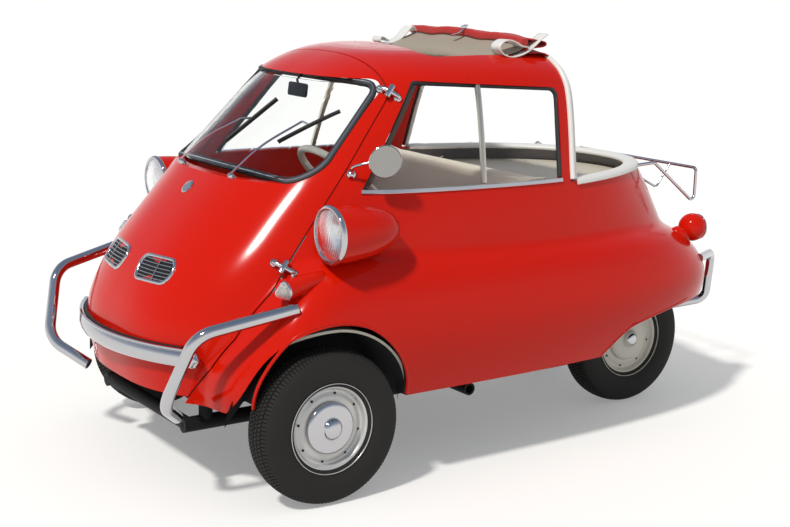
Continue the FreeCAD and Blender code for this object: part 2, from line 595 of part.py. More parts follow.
nodes.append(bound_box("seat_cushion",
                       ("2 * sizes.seat_half", "sizes.seat_depth", "sizes.seat_thick"),
                       ("-sizes.seat_half", "sizes.seat_front_y", "sizes.seat_top_z - sizes.seat_thick")))
back_low = S["seat_top_z"] + gap
back = [Vector(-S["seat_half"], y, z) for y, z in (
    (S["back_front_y"], back_low), (bulkhead_y - 18, back_low), (bulkhead_y - gap, S["back_top_z"]),
    (S["back_top_y"], S["back_top_z"]))]
back = Part.Face(Part.makePolygon(back + back[:1]))
keep_shape("seat_back", back.extrude(Vector(2 * S["seat_half"], 0, 0)))
board = "sizes.base_board"
box_top = "sizes.seat_top_z - sizes.seat_thick - sizes.fit_gap"
box_low = "sizes.floor_level + sizes.floor_sheet + sizes.fit_gap"
box_height = "%s - (%s)" % (box_top, box_low)
seat_box = bound_box("seat_box", ("2 * sizes.base_half", "sizes.base_depth", box_height),
                     ("-sizes.base_half", "sizes.base_front_y", box_low))
seat_hollow = bound_box("seat_hollow", ("2 * sizes.base_half - 2 * " + board,
                                        "sizes.base_depth - 2 * " + board,
                                        box_height + " - " + board),
                        ("-sizes.base_half + " + board, "sizes.base_front_y + " + board, box_low))
seat_base = doc.addObject("Part::Cut", "seat_base")
seat_base.Base, seat_base.Tool = seat_box, seat_hollow
nodes.append(seat_base)

# Steering wheel, column and dash

fall = math.radians(S["column_fall"])
column_way = Vector(0, -math.cos(fall), -math.sin(fall))
wheel_at = Vector(S["steering_x"], S["steering_y"], S["steering_z"])
hub_at = wheel_at + column_way * S["steering_dish"]
spokes = [Part.makeCylinder(34, S["hub_thick"], hub_at - column_way * S["hub_thick"] / 2, column_way)]
for turn in (0, 120, 240):
    reach = Rotation(column_way, turn).multVec(Vector(0, -column_way.z, column_way.y))
    run = wheel_at + reach * S["steering_radius"] - hub_at
    spokes.append(Part.makeCylinder(7, run.Length, hub_at, run))
grip = Part.makeTorus(S["steering_radius"], S["steering_grip"], wheel_at, column_way)
keep_shape("steering_wheel", grip.fuse(spokes))
column = Part.makeCylinder(S["column_radius"], S["column_length"],
                           hub_at + column_way * (S["hub_thick"] / 2 + gap), column_way)
dash = block((S["dash_right_x"], S["dash_left_x"]), (-FAR, S["dash_rear_y"]),
             (S["dash_low_z"], S["dash_high_z"])).common(cabin(S["body_wall"] + S["skin_gap"]))
keep_shape("dash_column", dash.fuse(column))

# Chassis: two side rails, cross tubes, posts to the floor, the front axle tube, the spring perches
# and a socket on either side for the arm of a jack

rail_z, rail_x, hub_z = S["rail_z"], S["rail_x"], S["tyre_radius"]
rail = Part.makeCylinder(S["rail_radius"], S["rail_rear_y"] - S["rail_front_y"],
                         Vector(rail_x, S["rail_front_y"], rail_z), backward)
crosses = [across(S["cross_radius"], rail_x, y, rail_z)
           for y in (S["rail_front_y"] + 20, 420, S["rail_rear_y"] - 20)]
posts = [Part.makeCylinder(S["cross_radius"], floor_low - rail_z - sheet_gap, Vector(x, y, rail_z))
         for x in (-rail_x, rail_x) for y in (-250, 420, 900)]
yoke_x = S["king_pin_x"] - S["yoke_reach"]
axle_tube = across(S["axle_tube"], yoke_x, 0, hub_z)
risers = [Part.makeCylinder(S["cross_radius"], hub_z - rail_z, Vector(x, 0, rail_z))
          for x in (-rail_x, rail_x)]
spring_z = hub_z + S["axle_radius"] + sheet_gap
half_perch = S["perch_width"] / 2
perches = [block((x - half_perch, x + half_perch), (S["perch_y"], S["perch_y"] + S["perch_width"]),
                 (rail_z, spring_z - sheet_gap)) for x in (-S["perch_x"], S["perch_x"])]
jack_end = Vector(rail_x + S["jack_reach"], S["jack_y"], rail_z)
jack = Part.makeCylinder(S["jack_radius"] + S["jack_wall"], S["jack_reach"], jack_end, Vector(-1, 0, 0))
jack = jack.cut(Part.makeCylinder(S["jack_radius"], S["jack_depth"], jack_end, Vector(-1, 0, 0)))
keep_shape("chassis_frame", rail.fuse([mirror_x(rail), axle_tube, jack, mirror_x(jack)] + crosses + posts
                                      + risers + perches))

# Front axle yokes and knuckles

half_yoke = S["yoke_width"] / 2
yoke_low = hub_z - S["yoke_height"] / 2
yoke_top = hub_z + S["yoke_height"] / 2
yoke_out = S["king_pin_x"] + 22
yoke = block((yoke_x, yoke_x + 22), (-half_yoke, half_yoke), (yoke_low, yoke_top)).fuse([
    block((yoke_x, yoke_out), (-half_yoke, half_yoke), (yoke_low, yoke_low + S["yoke_sheet"])),
    block((yoke_x, yoke_out), (-half_yoke, half_yoke), (yoke_top - S["yoke_sheet"], yoke_top)),
    Part.makeCylinder(S["king_pin_radius"], S["yoke_height"], Vector(S["king_pin_x"], 0, yoke_low))])
keep_shape("front_axle", left_and_right(yoke))
barrel_low = yoke_low + S["yoke_sheet"] + 4
spindle_end = S["front_half_track"] + 20
pin_x = S["king_pin_x"]
knuckle = Part.makeCylinder(S["barrel_radius"], 2 * (hub_z - barrel_low), Vector(pin_x, 0, barrel_low))
knuckle = knuckle.fuse([
    across(S["spindle_radius"], (spindle_end - pin_x) / 2, 0, hub_z, (spindle_end + pin_x) / 2),
    across(S["brake_radius"], 2, 0, hub_z, S["front_half_track"] - 60)])
knuckle = knuckle.cut(Part.makeCylinder(S["king_pin_radius"] + gap, FAR, Vector(S["king_pin_x"], 0, 0)))
keep_shape("knuckle_left", knuckle)
keep_shape("knuckle_right", mirror_x(knuckle))

# Wheels: each tyre, rim and hub cap is turned from half a section

WHEELS = (  # name, side, half track, station, bore
    ("front_left", 1, "front_half_track", 0, S["spindle_radius"] + S["bore_gap"]),
    ("front_right", -1, "front_half_track", 0, S["spindle_radius"] + S["bore_gap"]),
    ("rear_left", 1, "rear_half_track", S["wheelbase"], S["shaft_radius"] + S["bore_gap"]),
    ("rear_right", -1, "rear_half_track", S["wheelbase"], S["shaft_radius"] + S["bore_gap"]),
)
half, top, seat = S["tyre_width"] / 2, S["tyre_radius"], S["rim_radius"]
barrel, edge, cap, dome, hub = seat - 14, half * 0.68, S["cap_radius"], S["cap_dome"], S["hub_radius"]
well_radius = barrel - S["rim_sheet"]
tyre_half = [(edge, barrel + gap), (edge, seat + 0.5), (half, seat + 34), (half * 0.97, top - 26),
             (half * 0.72, top - 4)]
tyre = tyre_half + [(0, top)] + [(-along, radius) for along, radius in reversed(tyre_half)]
cap_outline = [(36.3, cap - 4), (36.3, cap), (42, cap - 1), (56, cap * 0.62), (58, dome + 6), (64, dome),
               (70, dome * 0.5), (72, 0), (68, 0), (66, dome * 0.5), (60, dome - 4), (54, dome + 3),
               (52, cap * 0.6)]
for name, side, half_track, station, bore in WHEELS:
    place = FreeCAD.Placement(Vector(side * S[half_track], station, top),
                              Rotation(Vector(0, 0, 1), 0 if side > 0 else 180))
    rim_outline = [(edge + 8, barrel), (edge + 8, seat), (edge + 0.4, seat), (edge + 0.4, barrel),
                   (-edge - 0.4, barrel), (-edge - 0.4, seat), (-edge - 8, seat),
                   (-edge - 8, well_radius), (18, well_radius), (30, cap + 14), (30, cap - 8),
                   (-6, hub + 46), (-46, hub + 46), (-46, bore), (34, bore), (34, hub), (36, cap - 6),
                   (36, cap + 16), (26, barrel - 12), (30, well_radius), (edge + 2, well_radius)]
    turned_body("tyre_" + name, tyre, place)
    turned_body("rim_" + name, rim_outline, place)
    turned_body("hub_cap_" + name, cap_outline, place)

# Rear axle, springs and engine

shaft = doc.addObject("Part::Cylinder", "rear_shaft")
shaft.setExpression("Radius", "sizes.shaft_radius")
shaft.setExpression("Height", "2 * sizes.rear_half_track + 40")
shaft.Placement = FreeCAD.Placement(Vector(-S["rear_half_track"] - 20, S["wheelbase"], hub_z),
                                    Rotation(Vector(0, 1, 0), 90))
keep(shaft)
case_x, case_half = S["case_x"], S["case_width"] / 2
housing = across(S["axle_radius"], S["axle_case_half"], S["wheelbase"], hub_z)
housing = housing.fuse(block((case_x - case_half, case_x + case_half),
                             (S["case_front_y"], S["wheelbase"] + S["axle_radius"]),
                             (hub_z - S["case_height"] / 2, hub_z + S["case_height"] / 2)))
keep_shape("rear_axle_case", housing.cut(across(S["shaft_radius"] + 0.5, FAR, S["wheelbase"], hub_z)))
spring_y = S["perch_y"] + 12
springs = [block((x - half_perch, x + half_perch), (spring_y, spring_y + S["spring_length"]),
                 (spring_z, spring_z + S["spring_thick"])) for x in (-S["perch_x"], S["perch_x"])]
keep_shape("rear_springs", Part.makeCompound(springs))
nodes.append(bound_box("engine", ("sizes.engine_width", "sizes.engine_depth", "sizes.engine_height"),
                       ("-sizes.engine_x - sizes.engine_width / 2", "sizes.engine_y",
                        "sizes.rail_z + sizes.rail_radius + sizes.fit_gap")))

doc.recompute()
for thing in doc.Objects:
    if "Invalid" in thing.State or "Error" in thing.State:
        raise RuntimeError("%s did not build" % thing.Label)
for node in nodes:
    if node.Shape.isNull() or not node.Shape.isValid():
        raise RuntimeError("%s has no sound shape" % node.Label)
os.makedirs("parts", exist_ok=True)
for node in nodes:
    node.Shape.exportStep(os.path.join("parts", node.Label + ".step"))
print(len(nodes), "parts")
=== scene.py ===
import json
import math

import bpy
import numpy as np
from mathutils import Matrix, Vector


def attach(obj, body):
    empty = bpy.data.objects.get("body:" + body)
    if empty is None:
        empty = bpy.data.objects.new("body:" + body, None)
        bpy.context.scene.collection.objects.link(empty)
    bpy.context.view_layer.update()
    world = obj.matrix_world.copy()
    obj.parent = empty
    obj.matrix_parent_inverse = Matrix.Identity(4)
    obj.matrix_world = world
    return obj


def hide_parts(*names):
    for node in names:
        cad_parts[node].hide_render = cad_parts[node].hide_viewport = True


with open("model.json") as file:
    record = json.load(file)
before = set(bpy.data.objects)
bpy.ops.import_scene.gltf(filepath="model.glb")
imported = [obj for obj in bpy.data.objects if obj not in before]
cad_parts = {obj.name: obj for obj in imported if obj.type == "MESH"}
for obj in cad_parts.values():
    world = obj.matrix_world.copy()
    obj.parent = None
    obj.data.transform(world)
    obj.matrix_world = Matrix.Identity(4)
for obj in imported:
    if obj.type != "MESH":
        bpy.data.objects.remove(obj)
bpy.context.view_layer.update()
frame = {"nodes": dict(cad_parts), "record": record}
NODES = frame["nodes"]

# Lengths below are millimetres, with stations along Y counted from the front axle,
# as in the part's own drawing. row() turns them into the frame's metres.
SHIFT = 697.5


def row(points):
    points = np.array(points, float)
    return (points - np.array([0, SHIFT, 0])) / 1000.0


# Materials


def shader(name, colour, roughness=0.5, metallic=0.0, **more):
    material = bpy.data.materials.new(name)
    material.use_nodes = True
    node = material.node_tree.nodes["Principled BSDF"]
    node.inputs["Base Color"].default_value = (*colour, 1)
    node.inputs["Roughness"].default_value = roughness
    node.inputs["Metallic"].default_value = metallic
    for key, value in more.items():
        node.inputs[key.replace("_", " ")].default_value = value
    return material


def node_in(tree, kind, **values):
    """New shader node with values on its input sockets."""
    node = tree.nodes.new("ShaderNode" + kind)
    for name, value in values.items():
        node.inputs[name].default_value = value
    return node


def add_bump(material, scale, strength, distance=0.0006, kind="Noise"):
    """Grain that a texture raises from the surface."""
    tree = material.node_tree
    place = node_in(tree, "TexCoord")
    texture = node_in(tree, "Tex" + kind, Scale=scale)
    bump = node_in(tree, "Bump", Strength=strength, Distance=distance)
    tree.links.new(place.outputs["Object"], texture.inputs["Vector"])
    tree.links.new(texture.outputs["Fac"], bump.inputs["Height"])
    tree.links.new(bump.outputs["Normal"], tree.nodes["Principled BSDF"].inputs["Normal"])


RED = shader("red_enamel", (0.60, 0.010, 0.002), 0.12, 0.0, Specular_IOR_Level=0.16)
CHROME = shader("chrome_plate", (0.52, 0.52, 0.54), 0.08, 1.0)
DULL = shader("dull_steel", (0.36, 0.36, 0.37), 0.38, 1.0)
BRIGHT = shader("bright_channel", (0.62, 0.58, 0.50), 0.28, 1.0)
RUBBER = shader("black_rubber", (0.018, 0.018, 0.019), 0.55)
TYRE = shader("tyre_rubber", (0.020, 0.019, 0.018), 0.75, 0.0, Specular_IOR_Level=0.25)
RIM_FRONT = shader("rim_silver", (0.56, 0.56, 0.55), 0.32, 0.35)
RIM_REAR = shader("rim_cream", (0.70, 0.67, 0.60), 0.40)
VINYL = shader("white_vinyl", (0.78, 0.78, 0.76), 0.42, 0.0, Coat_Weight=0.15, Coat_Roughness=0.3)
CLOTH = shader("red_hood_cloth", (0.50, 0.014, 0.010), 0.62, 0.0, Sheen_Weight=0.15)
LINING = shader("beige_lining", (0.34, 0.30, 0.24), 0.9, 0.0, Sheen_Weight=0.2)
SEAT = shader("seat_cloth", (0.80, 0.75, 0.62), 0.85, 0.0, Sheen_Weight=0.2)
CREAM = shader("cream_paint", (0.62, 0.58, 0.49), 0.5)
IVORY = shader("ivory_plastic", (0.80, 0.76, 0.64), 0.28, 0.0, Coat_Weight=0.3)
BLACK = shader("chassis_black", (0.016, 0.016, 0.017), 0.6, 0.0, Specular_IOR_Level=0.12)
DARK = shader("dark_channel", (0.045, 0.028, 0.022), 0.5)
ENGINE = shader("cast_metal", (0.30, 0.30, 0.31), 0.55, 0.8)
GLASS = shader("window_glass", (0.98, 0.99, 0.99), 0.0, 0.0, Transmission_Weight=1.0, IOR=1.12)
# Dark grey for the inner panels below the belt: painted shade inside the body, darker than the panels' cream
PAINTED_SHADE_PANEL = shader("inner_panel_painted_shade", (0.13, 0.125, 0.13), 0.7)
TAIL_RED = shader("tail_lens", (0.45, 0.01, 0.008), 0.12, 0.0, Coat_Weight=1.0, Coat_Roughness=0.05)
add_bump(TYRE, 260, 0.25)
add_bump(SEAT, 420, 0.35)
add_bump(CLOTH, 300, 0.2, 0.0005)
add_bump(LINING, 320, 0.35)
add_bump(ENGINE, 180, 0.4, 0.001)

SLOT_SHADERS = {
    "red_paint": RED, "chrome": CHROME, "clear_glass": GLASS, "seal_rubber": RUBBER,
    "bright_metal": DARK, "white_vinyl": VINYL, "hood_cloth": CLOTH, "seat_cloth": SEAT,
    "cabin_paint": CREAM, "cream_plastic": IVORY, "chassis_paint": BLACK, "spring_steel": DULL,
    "engine_metal": ENGINE, "tyre_rubber": TYRE, "rim_paint": RIM_FRONT,
}
slot_of = {part["node"]: part["material_slot"] for part in frame["record"]["subparts"]}
body_of = {node: body for body, members in frame["record"]["behaviour"]["bodies"].items()
           for node in members}
for name, node in NODES.items():
    node.data.materials.clear()
    node.data.materials.append(SLOT_SHADERS[slot_of[name]])
    node.data.shade_smooth()
    node.data.set_sharp_from_angle(angle=math.radians(32))

# Building blocks for new pieces


def placed(name, data):
    """New object in the scene for a mesh, camera or lamp."""
    thing = bpy.data.objects.new(name, data)
    bpy.context.scene.collection.objects.link(thing)
    return thing


def applied(thing):
    """The mesh of an object with its modifiers applied."""
    graph = bpy.context.evaluated_depsgraph_get()
    mesh = bpy.data.meshes.new_from_object(thing.evaluated_get(graph))
    thing.modifiers.clear()
    return mesh


def read(items, name, width=1, kind=float):
    """One attribute of a mesh's vertices, loops or faces as an array."""
    values = np.empty(len(items) * width, kind)
    items.foreach_get(name, values)
    return values.reshape(-1, width) if width > 1 else values


def piece(name, points, faces, material, body, slot, angle=35, stands_for=()):
    """New mesh in the frame that moves with a body."""
    mesh = bpy.data.meshes.new(name)
    mesh.from_pydata(row(points).tolist(), [], [list(f) for f in faces])
    mesh.update()
    return adopt(name, mesh, material, body, angle, stands_for)


def adopt(name, mesh, material, body, angle=35, stands_for=()):
    """Puts a finished mesh on a body, in place of the CAD nodes that it stands for."""
    mesh.materials.clear()
    mesh.materials.append(material)
    mesh.shade_smooth()
    if angle is not None:
        mesh.set_sharp_from_angle(angle=math.radians(angle))
    thing = placed(name, mesh)
    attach(thing, body)
    for node in stands_for:
        if node in NODES:
            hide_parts(node)
    return thing


def joined(groups):
    """One list of points and faces out of several."""
    points, faces = [], []
    for some, more in groups:
        start = len(points)
        points += [list(p) for p in some]
        faces += [[start + i for i in face] for face in more]
    return points, faces


def grid_faces(rings, count, close_ring=True, close_rings=False):
    """Quads between rings of points, closed round each ring and from the last ring to the first."""
    faces = []
    for ring in range(rings if close_rings else rings - 1):
        after = (ring + 1) % rings
        for i in range(count if close_ring else count - 1):
            j = (i + 1) % count
            faces.append([ring * count + i, ring * count + j, after * count + j, after * count + i])
    return faces


def revolved(outline, centre, axis, steps=64):
    """Surface of revolution over (along, radius) points about an axis."""
    axis = Vector(axis).normalized()
    side = axis.orthogonal().normalized()
    other = axis.cross(side)
    centre = Vector(centre)
    points = []
    for along, radius in outline:
        for step in range(steps):
            turn = 2 * math.pi * step / steps
            spot = centre + axis * along + (side * math.cos(turn) + other * math.sin(turn)) * radius
            points.append(list(spot))
    return points, grid_faces(len(outline), steps)


def smooth_path(points, steps=8):
    """Catmull-Rom curve through points."""
    points = [np.array(p, float) for p in points]
    result = []
    for i in range(len(points) - 1):
        b, c = points[i], points[i + 1]
        a = points[i - 1] if i > 0 else 2 * b - c
        d = points[i + 2] if i + 2 < len(points) else 2 * c - b
        for step in range(steps):
            t = step / steps
            result.append(0.5 * (2 * b + (c - a) * t + (2 * a - 5 * b + 4 * c - d) * t * t
                                 + (3 * b - a - 3 * c + d) * t ** 3))
    result.append(points[-1])
    return result


def corner_arc(here, before, after, corner, room, steps):
    """Points of a corner's rounding that takes no more room than is given along either side."""
    back, ahead = before - here, after - here
    back, ahead = back / np.linalg.norm(back), ahead / np.linalg.norm(ahead)
    half = math.acos(max(-1, min(1, float(back @ ahead)))) / 2
    reach = corner / math.tan(half)
    if reach > room:
        reach, corner = room, room * math.tan(half)
    start, end = here + back * reach, here + ahead * reach
    middle = here + (back + ahead) / np.linalg.norm(back + ahead) * (corner / math.sin(half))
    result = []
    for step in range(steps + 1):
        t = step / steps
        way = start * (1 - t) + end * t - middle
        result.append(middle + way / np.linalg.norm(way) * corner)
    return result


def rounded(points, corner, steps=6):
    """Polygon in a plane with its corners rounded; a corner may be one number or a list."""
    points = [np.array(p, float) for p in points]
    corners = corner if isinstance(corner, list) else [corner] * len(points)
    result = []
    for i, here in enumerate(points):
        result += corner_arc(here, points[i - 1], points[(i + 1) % len(points)], corners[i], math.inf, steps)
    return result


def bent(points, corner, steps):
    """Open line with its inner corners rounded."""
    points = [np.array(p, float) for p in points]
    line = [points[0]]
    for before, here, after in zip(points, points[1:], points[2:]):
        room = 0.49 * min(np.linalg.norm(before - here), np.linalg.norm(after - here))
        line += corner_arc(here, before, after, corner, room, steps)
    return line + [points[-1]]


def round_section(radius, steps=12):
    return [(radius * math.cos(2 * math.pi * i / steps), radius * math.sin(2 * math.pi * i / steps))
            for i in range(steps)]


def swept(path, section, up=None, closed=False):
    """Section (across, up) swept along a path, with the up direction given or carried along."""
    path = [np.array(p, float) for p in path]
    count = len(path)
    points = []
    carried = None
    for i in range(count):
        if closed:
            tangent = path[(i + 1) % count] - path[i - 1]
        else:
            tangent = path[min(i + 1, count - 1)] - path[max(i - 1, 0)]
        tangent = tangent / np.linalg.norm(tangent)
        if up is not None:
            upward = np.array(up[i] if len(np.shape(up)) > 1 else up, float)
        elif carried is None:
            upward = np.array([0, 0, 1.0]) if abs(tangent[2]) < 0.9 else np.array([1.0, 0, 0])
        else:
            upward = carried
        upward = upward - tangent * (upward @ tangent)
        upward = upward / np.linalg.norm(upward)
        carried = upward
        across = np.cross(tangent, upward)
        for a, b in section:
            points.append(path[i] + across * a + upward * b)
    faces = grid_faces(count, len(section), True, closed)
    if not closed:
        faces.append(list(range(len(section)))[::-1])
        faces.append([(count - 1) * len(section) + i for i in range(len(section))])
    return points, faces


def prism(points, along):
    """Closed prism over a polygon, pushed along a direction."""
    points = [np.array(p, float) for p in points]
    along = np.array(along, float)
    count = len(points)
    normal = sum(np.cross(points[i], points[(i + 1) % count]) for i in range(count))
    if normal @ along > 0:
        points.reverse()
    both = points + [p + along for p in points]
    faces = [list(range(count)), list(range(2 * count - 1, count - 1, -1))]
    faces += [[i, i + count, (i + 1) % count + count, (i + 1) % count] for i in range(count)]
    return both, faces


def block(low, high):
    """Box between two corners."""
    (a, b, c), (d, e, f) = low, high
    points = [(a, b, c), (d, b, c), (d, e, c), (a, e, c), (a, b, f), (d, b, f), (d, e, f), (a, e, f)]
    faces = [(0, 3, 2, 1), (4, 5, 6, 7), (0, 1, 5, 4), (1, 2, 6, 5), (2, 3, 7, 6), (3, 0, 4, 7)]
    return points, faces


def ball(centre, radius, rings=16):
    outline = [(-radius * math.cos(math.pi * i / rings), max(radius * math.sin(math.pi * i / rings), 0.02))
               for i in range(rings + 1)]
    points, faces = revolved(outline, (0, 0, 0), (0, 0, 1), 32)
    return [[centre[k] + p[k] for k in range(3)] for p in points], faces


def both_sides(group):
    """The group and its mirror image across the car."""
    points, faces = group
    return joined([group, ([(-p[0], p[1], p[2]) for p in points], [face[::-1] for face in faces])])


# The body's surface: level sections as rounded ovals, blended with the flared skirt

FAR = 900  # beyond every side of the car, for cutters and for distances far inside

# Each row: level, nose, tail, half width, widest station, power ahead and behind
CABIN = np.array([
    (282, -408, 1690, 600, 560, 2.8, 2.6), (400, -432, 1720, 615, 560, 2.8, 2.6),
    (500, -436, 1735, 618, 560, 2.8, 2.6), (600, -402, 1740, 612, 560, 2.75, 2.6),
    (725, -322, 1712, 598, 560, 2.65, 2.4), (820, -238, 1672, 584, 555, 2.6, 2.3),
    (912, -149, 1622, 563, 550, 2.65, 2.25), (1010, -52, 1560, 534, 560, 2.75, 2.4),
    (1110, 52, 1480, 500, 590, 2.8, 2.7), (1200, 146, 1390, 466, 620, 2.85, 3.0),
    (1270, 236, 1300, 424, 640, 2.85, 3.0), (1320, 330, 1190, 340, 660, 2.7, 2.8),
    (1345, 425, 1060, 225, 680, 2.5, 2.5), (1353, 520, 920, 110, 690, 2.3, 2.3)], float)
SKIRT = np.array([
    (286, -300, 1776, 620, 150, 5.6, 3.6), (340, -310, 1806, 642, 150, 6.0, 3.6),
    (424, -298, 1838, 668, 150, 5.8, 3.6), (510, -246, 1846, 680, 150, 5.2, 3.6),
    (595, -192, 1806, 672, 150, 4.6, 3.4), (660, -138, 1708, 652, 150, 4.2, 3.4),
    (712, -96, 1560, 618, 150, 3.7, 3.2), (748, -60, 1400, 570, 150, 3.0, 3.0),
    (768, -10, 1250, 500, 150, 2.8, 2.9), (786, 60, 1050, 380, 150, 2.6, 2.7)], float)
APEX = 1356.5
SKIRT_TOP = 798.0
BLEND = 16.0
LEVEL_STEP = 0.5


def spline(xs, ys, x):
    """Natural cubic spline through (xs, ys), columns of ys together."""
    n = len(xs)
    h = np.diff(xs)
    system = np.zeros((n, n))
    right = np.zeros_like(ys)
    system[0, 0] = system[-1, -1] = 1
    for i in range(1, n - 1):
        system[i, i - 1:i + 2] = h[i - 1], 2 * (h[i - 1] + h[i]), h[i]
        right[i] = 6 * ((ys[i + 1] - ys[i]) / h[i] - (ys[i] - ys[i - 1]) / h[i - 1])
    bend = np.linalg.solve(system, right)
    x = np.clip(x, xs[0], xs[-1])
    k = np.clip(np.searchsorted(xs, x) - 1, 0, n - 2)
    a, b, hk = (xs[k + 1] - x)[:, None], (x - xs[k])[:, None], h[k][:, None]
    return (bend[k] * a ** 3 + bend[k + 1] * b ** 3) / (6 * hk) + (
        ys[k] / hk - bend[k] * hk / 6) * a + (ys[k + 1] / hk - bend[k + 1] * hk / 6) * b


def section_at(table, top, levels):
    """Nose, tail, half width, widest, powers at each level, pinched to nothing at the top."""
    depth = np.sqrt(np.maximum(top - table[::-1, 0], 0))
    if table is CABIN:
        station = table[-1, 4]
        tip = [station - 4, station + 4, 2.0, station, 2.2, 2.2]
    else:
        tip = [140, 700, 160, 150, 2.5, 2.5]
    xs = np.concatenate([[0.0], depth])
    ys = np.vstack([tip, table[::-1, 1:]])
    return spline(xs, ys, np.sqrt(np.maximum(top - levels, 0)))


LEVELS = np.arange(150.0, 1400.0, LEVEL_STEP)
CABIN_ROWS = section_at(CABIN, APEX, LEVELS)
SKIRT_ROWS = section_at(SKIRT, SKIRT_TOP, LEVELS)


def oval(table, top, x, y, z):
    """Under 1 inside the section at that level, over 1 outside."""
    where = (np.clip(z, LEVELS[0], LEVELS[-1]) - LEVELS[0]) / LEVEL_STEP
    k = np.minimum(where.astype(int), len(LEVELS) - 2)
    share = where - k
    nose, tail, half, widest, p_nose, p_tail = (
        table[k, c] * (1 - share) + table[k + 1, c] * share for c in range(6))
    ahead = y < widest
    reach = np.where(ahead, widest - nose, tail - widest)
    power = np.where(ahead, p_nose, p_tail)
    value = ((np.abs(x) / half) ** power + (np.abs(y - widest) / reach) ** power) ** (1 / power)
    return value + np.maximum(z - top, 0) / 12


def slope_of(field, points):
    """Value and gradient of a field at points."""
    value = field(*points.T)
    slope = np.empty_like(points)
    for axis, nudge in enumerate(np.eye(3)):
        slope[:, axis] = (field(*(points + nudge).T) - field(*(points - nudge).T)) / 2
    return value, slope


def first_order(value, steepness):
    """Distance to a surface from the section's value and its steepness; never small far outside."""
    least = np.where(value > 1, (value - 1) * 180, -FAR)
    return np.maximum((value - 1) / np.maximum(steepness, 1e-6), least)


def near_distance(table, top, points):
    value, slope = slope_of(lambda x, y, z: oval(table, top, x, y, z), points)
    return first_order(value, np.linalg.norm(slope, axis=1))


def melt(a, b):
    """Smaller of two distances, with a soft fillet where they meet."""
    share = np.maximum(BLEND - np.abs(a - b), 0) / BLEND
    return np.minimum(a, b) - share * share * BLEND / 4


def body_distance(x, y, z):
    points = np.stack([x, y, z], axis=1)
    return melt(near_distance(CABIN_ROWS, APEX, points), near_distance(SKIRT_ROWS, SKIRT_TOP, points))


def to_surface(points, depth=0.0, turns=3):
    """Moves points onto the surface that lies a depth under the skin; returns them and normals."""
    points = np.array(points, float)
    for _ in range(turns):
        value, slope = slope_of(body_distance, points)
        size = np.linalg.norm(slope, axis=1)
        step = (value + depth) / np.maximum(size, 0.3)
        points = points - slope / np.maximum(size, 1e-6)[:, None] * np.clip(step, -20, 20)[:, None]
    _, slope = slope_of(body_distance, points)
    return points, slope / np.linalg.norm(slope, axis=1)[:, None]


def body_solid(depth, cell):
    """Closed mesh of the surface at a depth under the skin, running down past the sill."""
    xs = np.arange(0, 740, cell)
    ys = np.arange(-480, 1900, cell)
    zs = np.arange(200, 1380, cell)
    grid = np.meshgrid(xs, ys, zs, indexing="ij")
    fields = []
    for table, top in ((CABIN_ROWS, APEX), (SKIRT_ROWS, SKIRT_TOP)):
        value = oval(table, top, *grid)
        slopes = np.gradient(value, cell)
        fields.append(first_order(value, np.sqrt(sum(s * s for s in slopes))))
    inside = melt(*fields) + depth < 0
    inside = np.concatenate([inside[:0:-1], inside], axis=0)
    xs = np.concatenate([-xs[:0:-1], xs])
    inside[:, :, 0] = False
    wide, deep, high = (count - 1 for count in inside.shape)
    corners = [inside[a:a + wide, b:b + deep, c:c + high] for a in (0, 1) for b in (0, 1) for c in (0, 1)]
    total = sum(part.astype(np.uint8) for part in corners)
    mixed = (total > 0) & (total < 8)
    number = np.full(mixed.shape, -1, np.int64)
    number[mixed] = np.arange(mixed.sum())
    i, j, k = np.nonzero(mixed)
    points = np.stack([xs[i] + cell / 2, ys[j] + cell / 2, zs[k] + cell / 2], axis=1)
    movable = points[:, 2] > zs[0] + 3 * cell
    moved, _ = to_surface(points[movable], depth, 4)
    points[movable] = moved
    quads = []
    for axis in range(3):
        first = [slice(None)] * 3
        second = [slice(None)] * 3
        first[axis], second[axis] = slice(None, -1), slice(1, None)
        a, b = inside[tuple(first)], inside[tuple(second)]
        change = a != b
        where = np.nonzero(change)
        leaving = a[where]
        u, v = [n for n in range(3) if n != axis]
        keepers = ((where[u] > 0) & (where[v] > 0)
                   & (where[u] < mixed.shape[u]) & (where[v] < mixed.shape[v]))
        where = [w[keepers] for w in where]
        leaving = leaving[keepers]
        spots = []
        for du, dv in ((1, 1), (0, 1), (0, 0), (1, 0)):
            index = [None] * 3
            index[axis] = where[axis]
            index[u] = where[u] - du
            index[v] = where[v] - dv
            spots.append(number[tuple(index)])
        quad = np.stack(spots, axis=1)
        flip = leaving if axis == 1 else ~leaving
        quad[flip] = quad[flip][:, ::-1]
        quads.append(quad)
    return points, np.concatenate(quads)


def mesh_from(name, points, faces):
    """Mesh out of points and faces, in millimetres."""
    mesh = bpy.data.meshes.new(name)
    points = np.array(points, np.float32)
    if isinstance(faces, np.ndarray):
        mesh.vertices.add(len(points))
        mesh.vertices.foreach_set("co", points.ravel())
        mesh.loops.add(faces.size)
        mesh.loops.foreach_set("vertex_index", faces.ravel().astype(np.int32))
        mesh.polygons.add(len(faces))
        mesh.polygons.foreach_set("loop_start", np.arange(0, faces.size, faces.shape[1], dtype=np.int32))
        mesh.update(calc_edges=True)
    else:
        mesh.from_pydata(points.tolist(), [], [list(face) for face in faces])
    mesh.validate()
    return mesh


def carve(mesh, cuts):
    """Applies (operation, points and faces) cuts to a mesh, all in millimetres."""
    thing = placed("carved", mesh)
    for operation, group in cuts:
        other = group if isinstance(group, bpy.types.Mesh) else mesh_from("cutter", *group)
        cutter = placed("cutter", other)
        modifier = thing.modifiers.new("cut", "BOOLEAN")
        modifier.operation = operation
        modifier.solver = "MANIFOLD"
        modifier.object = cutter
        thing.data = applied(thing)
        bpy.data.objects.remove(cutter)
    result = thing.data
    bpy.data.objects.remove(thing)
    return result


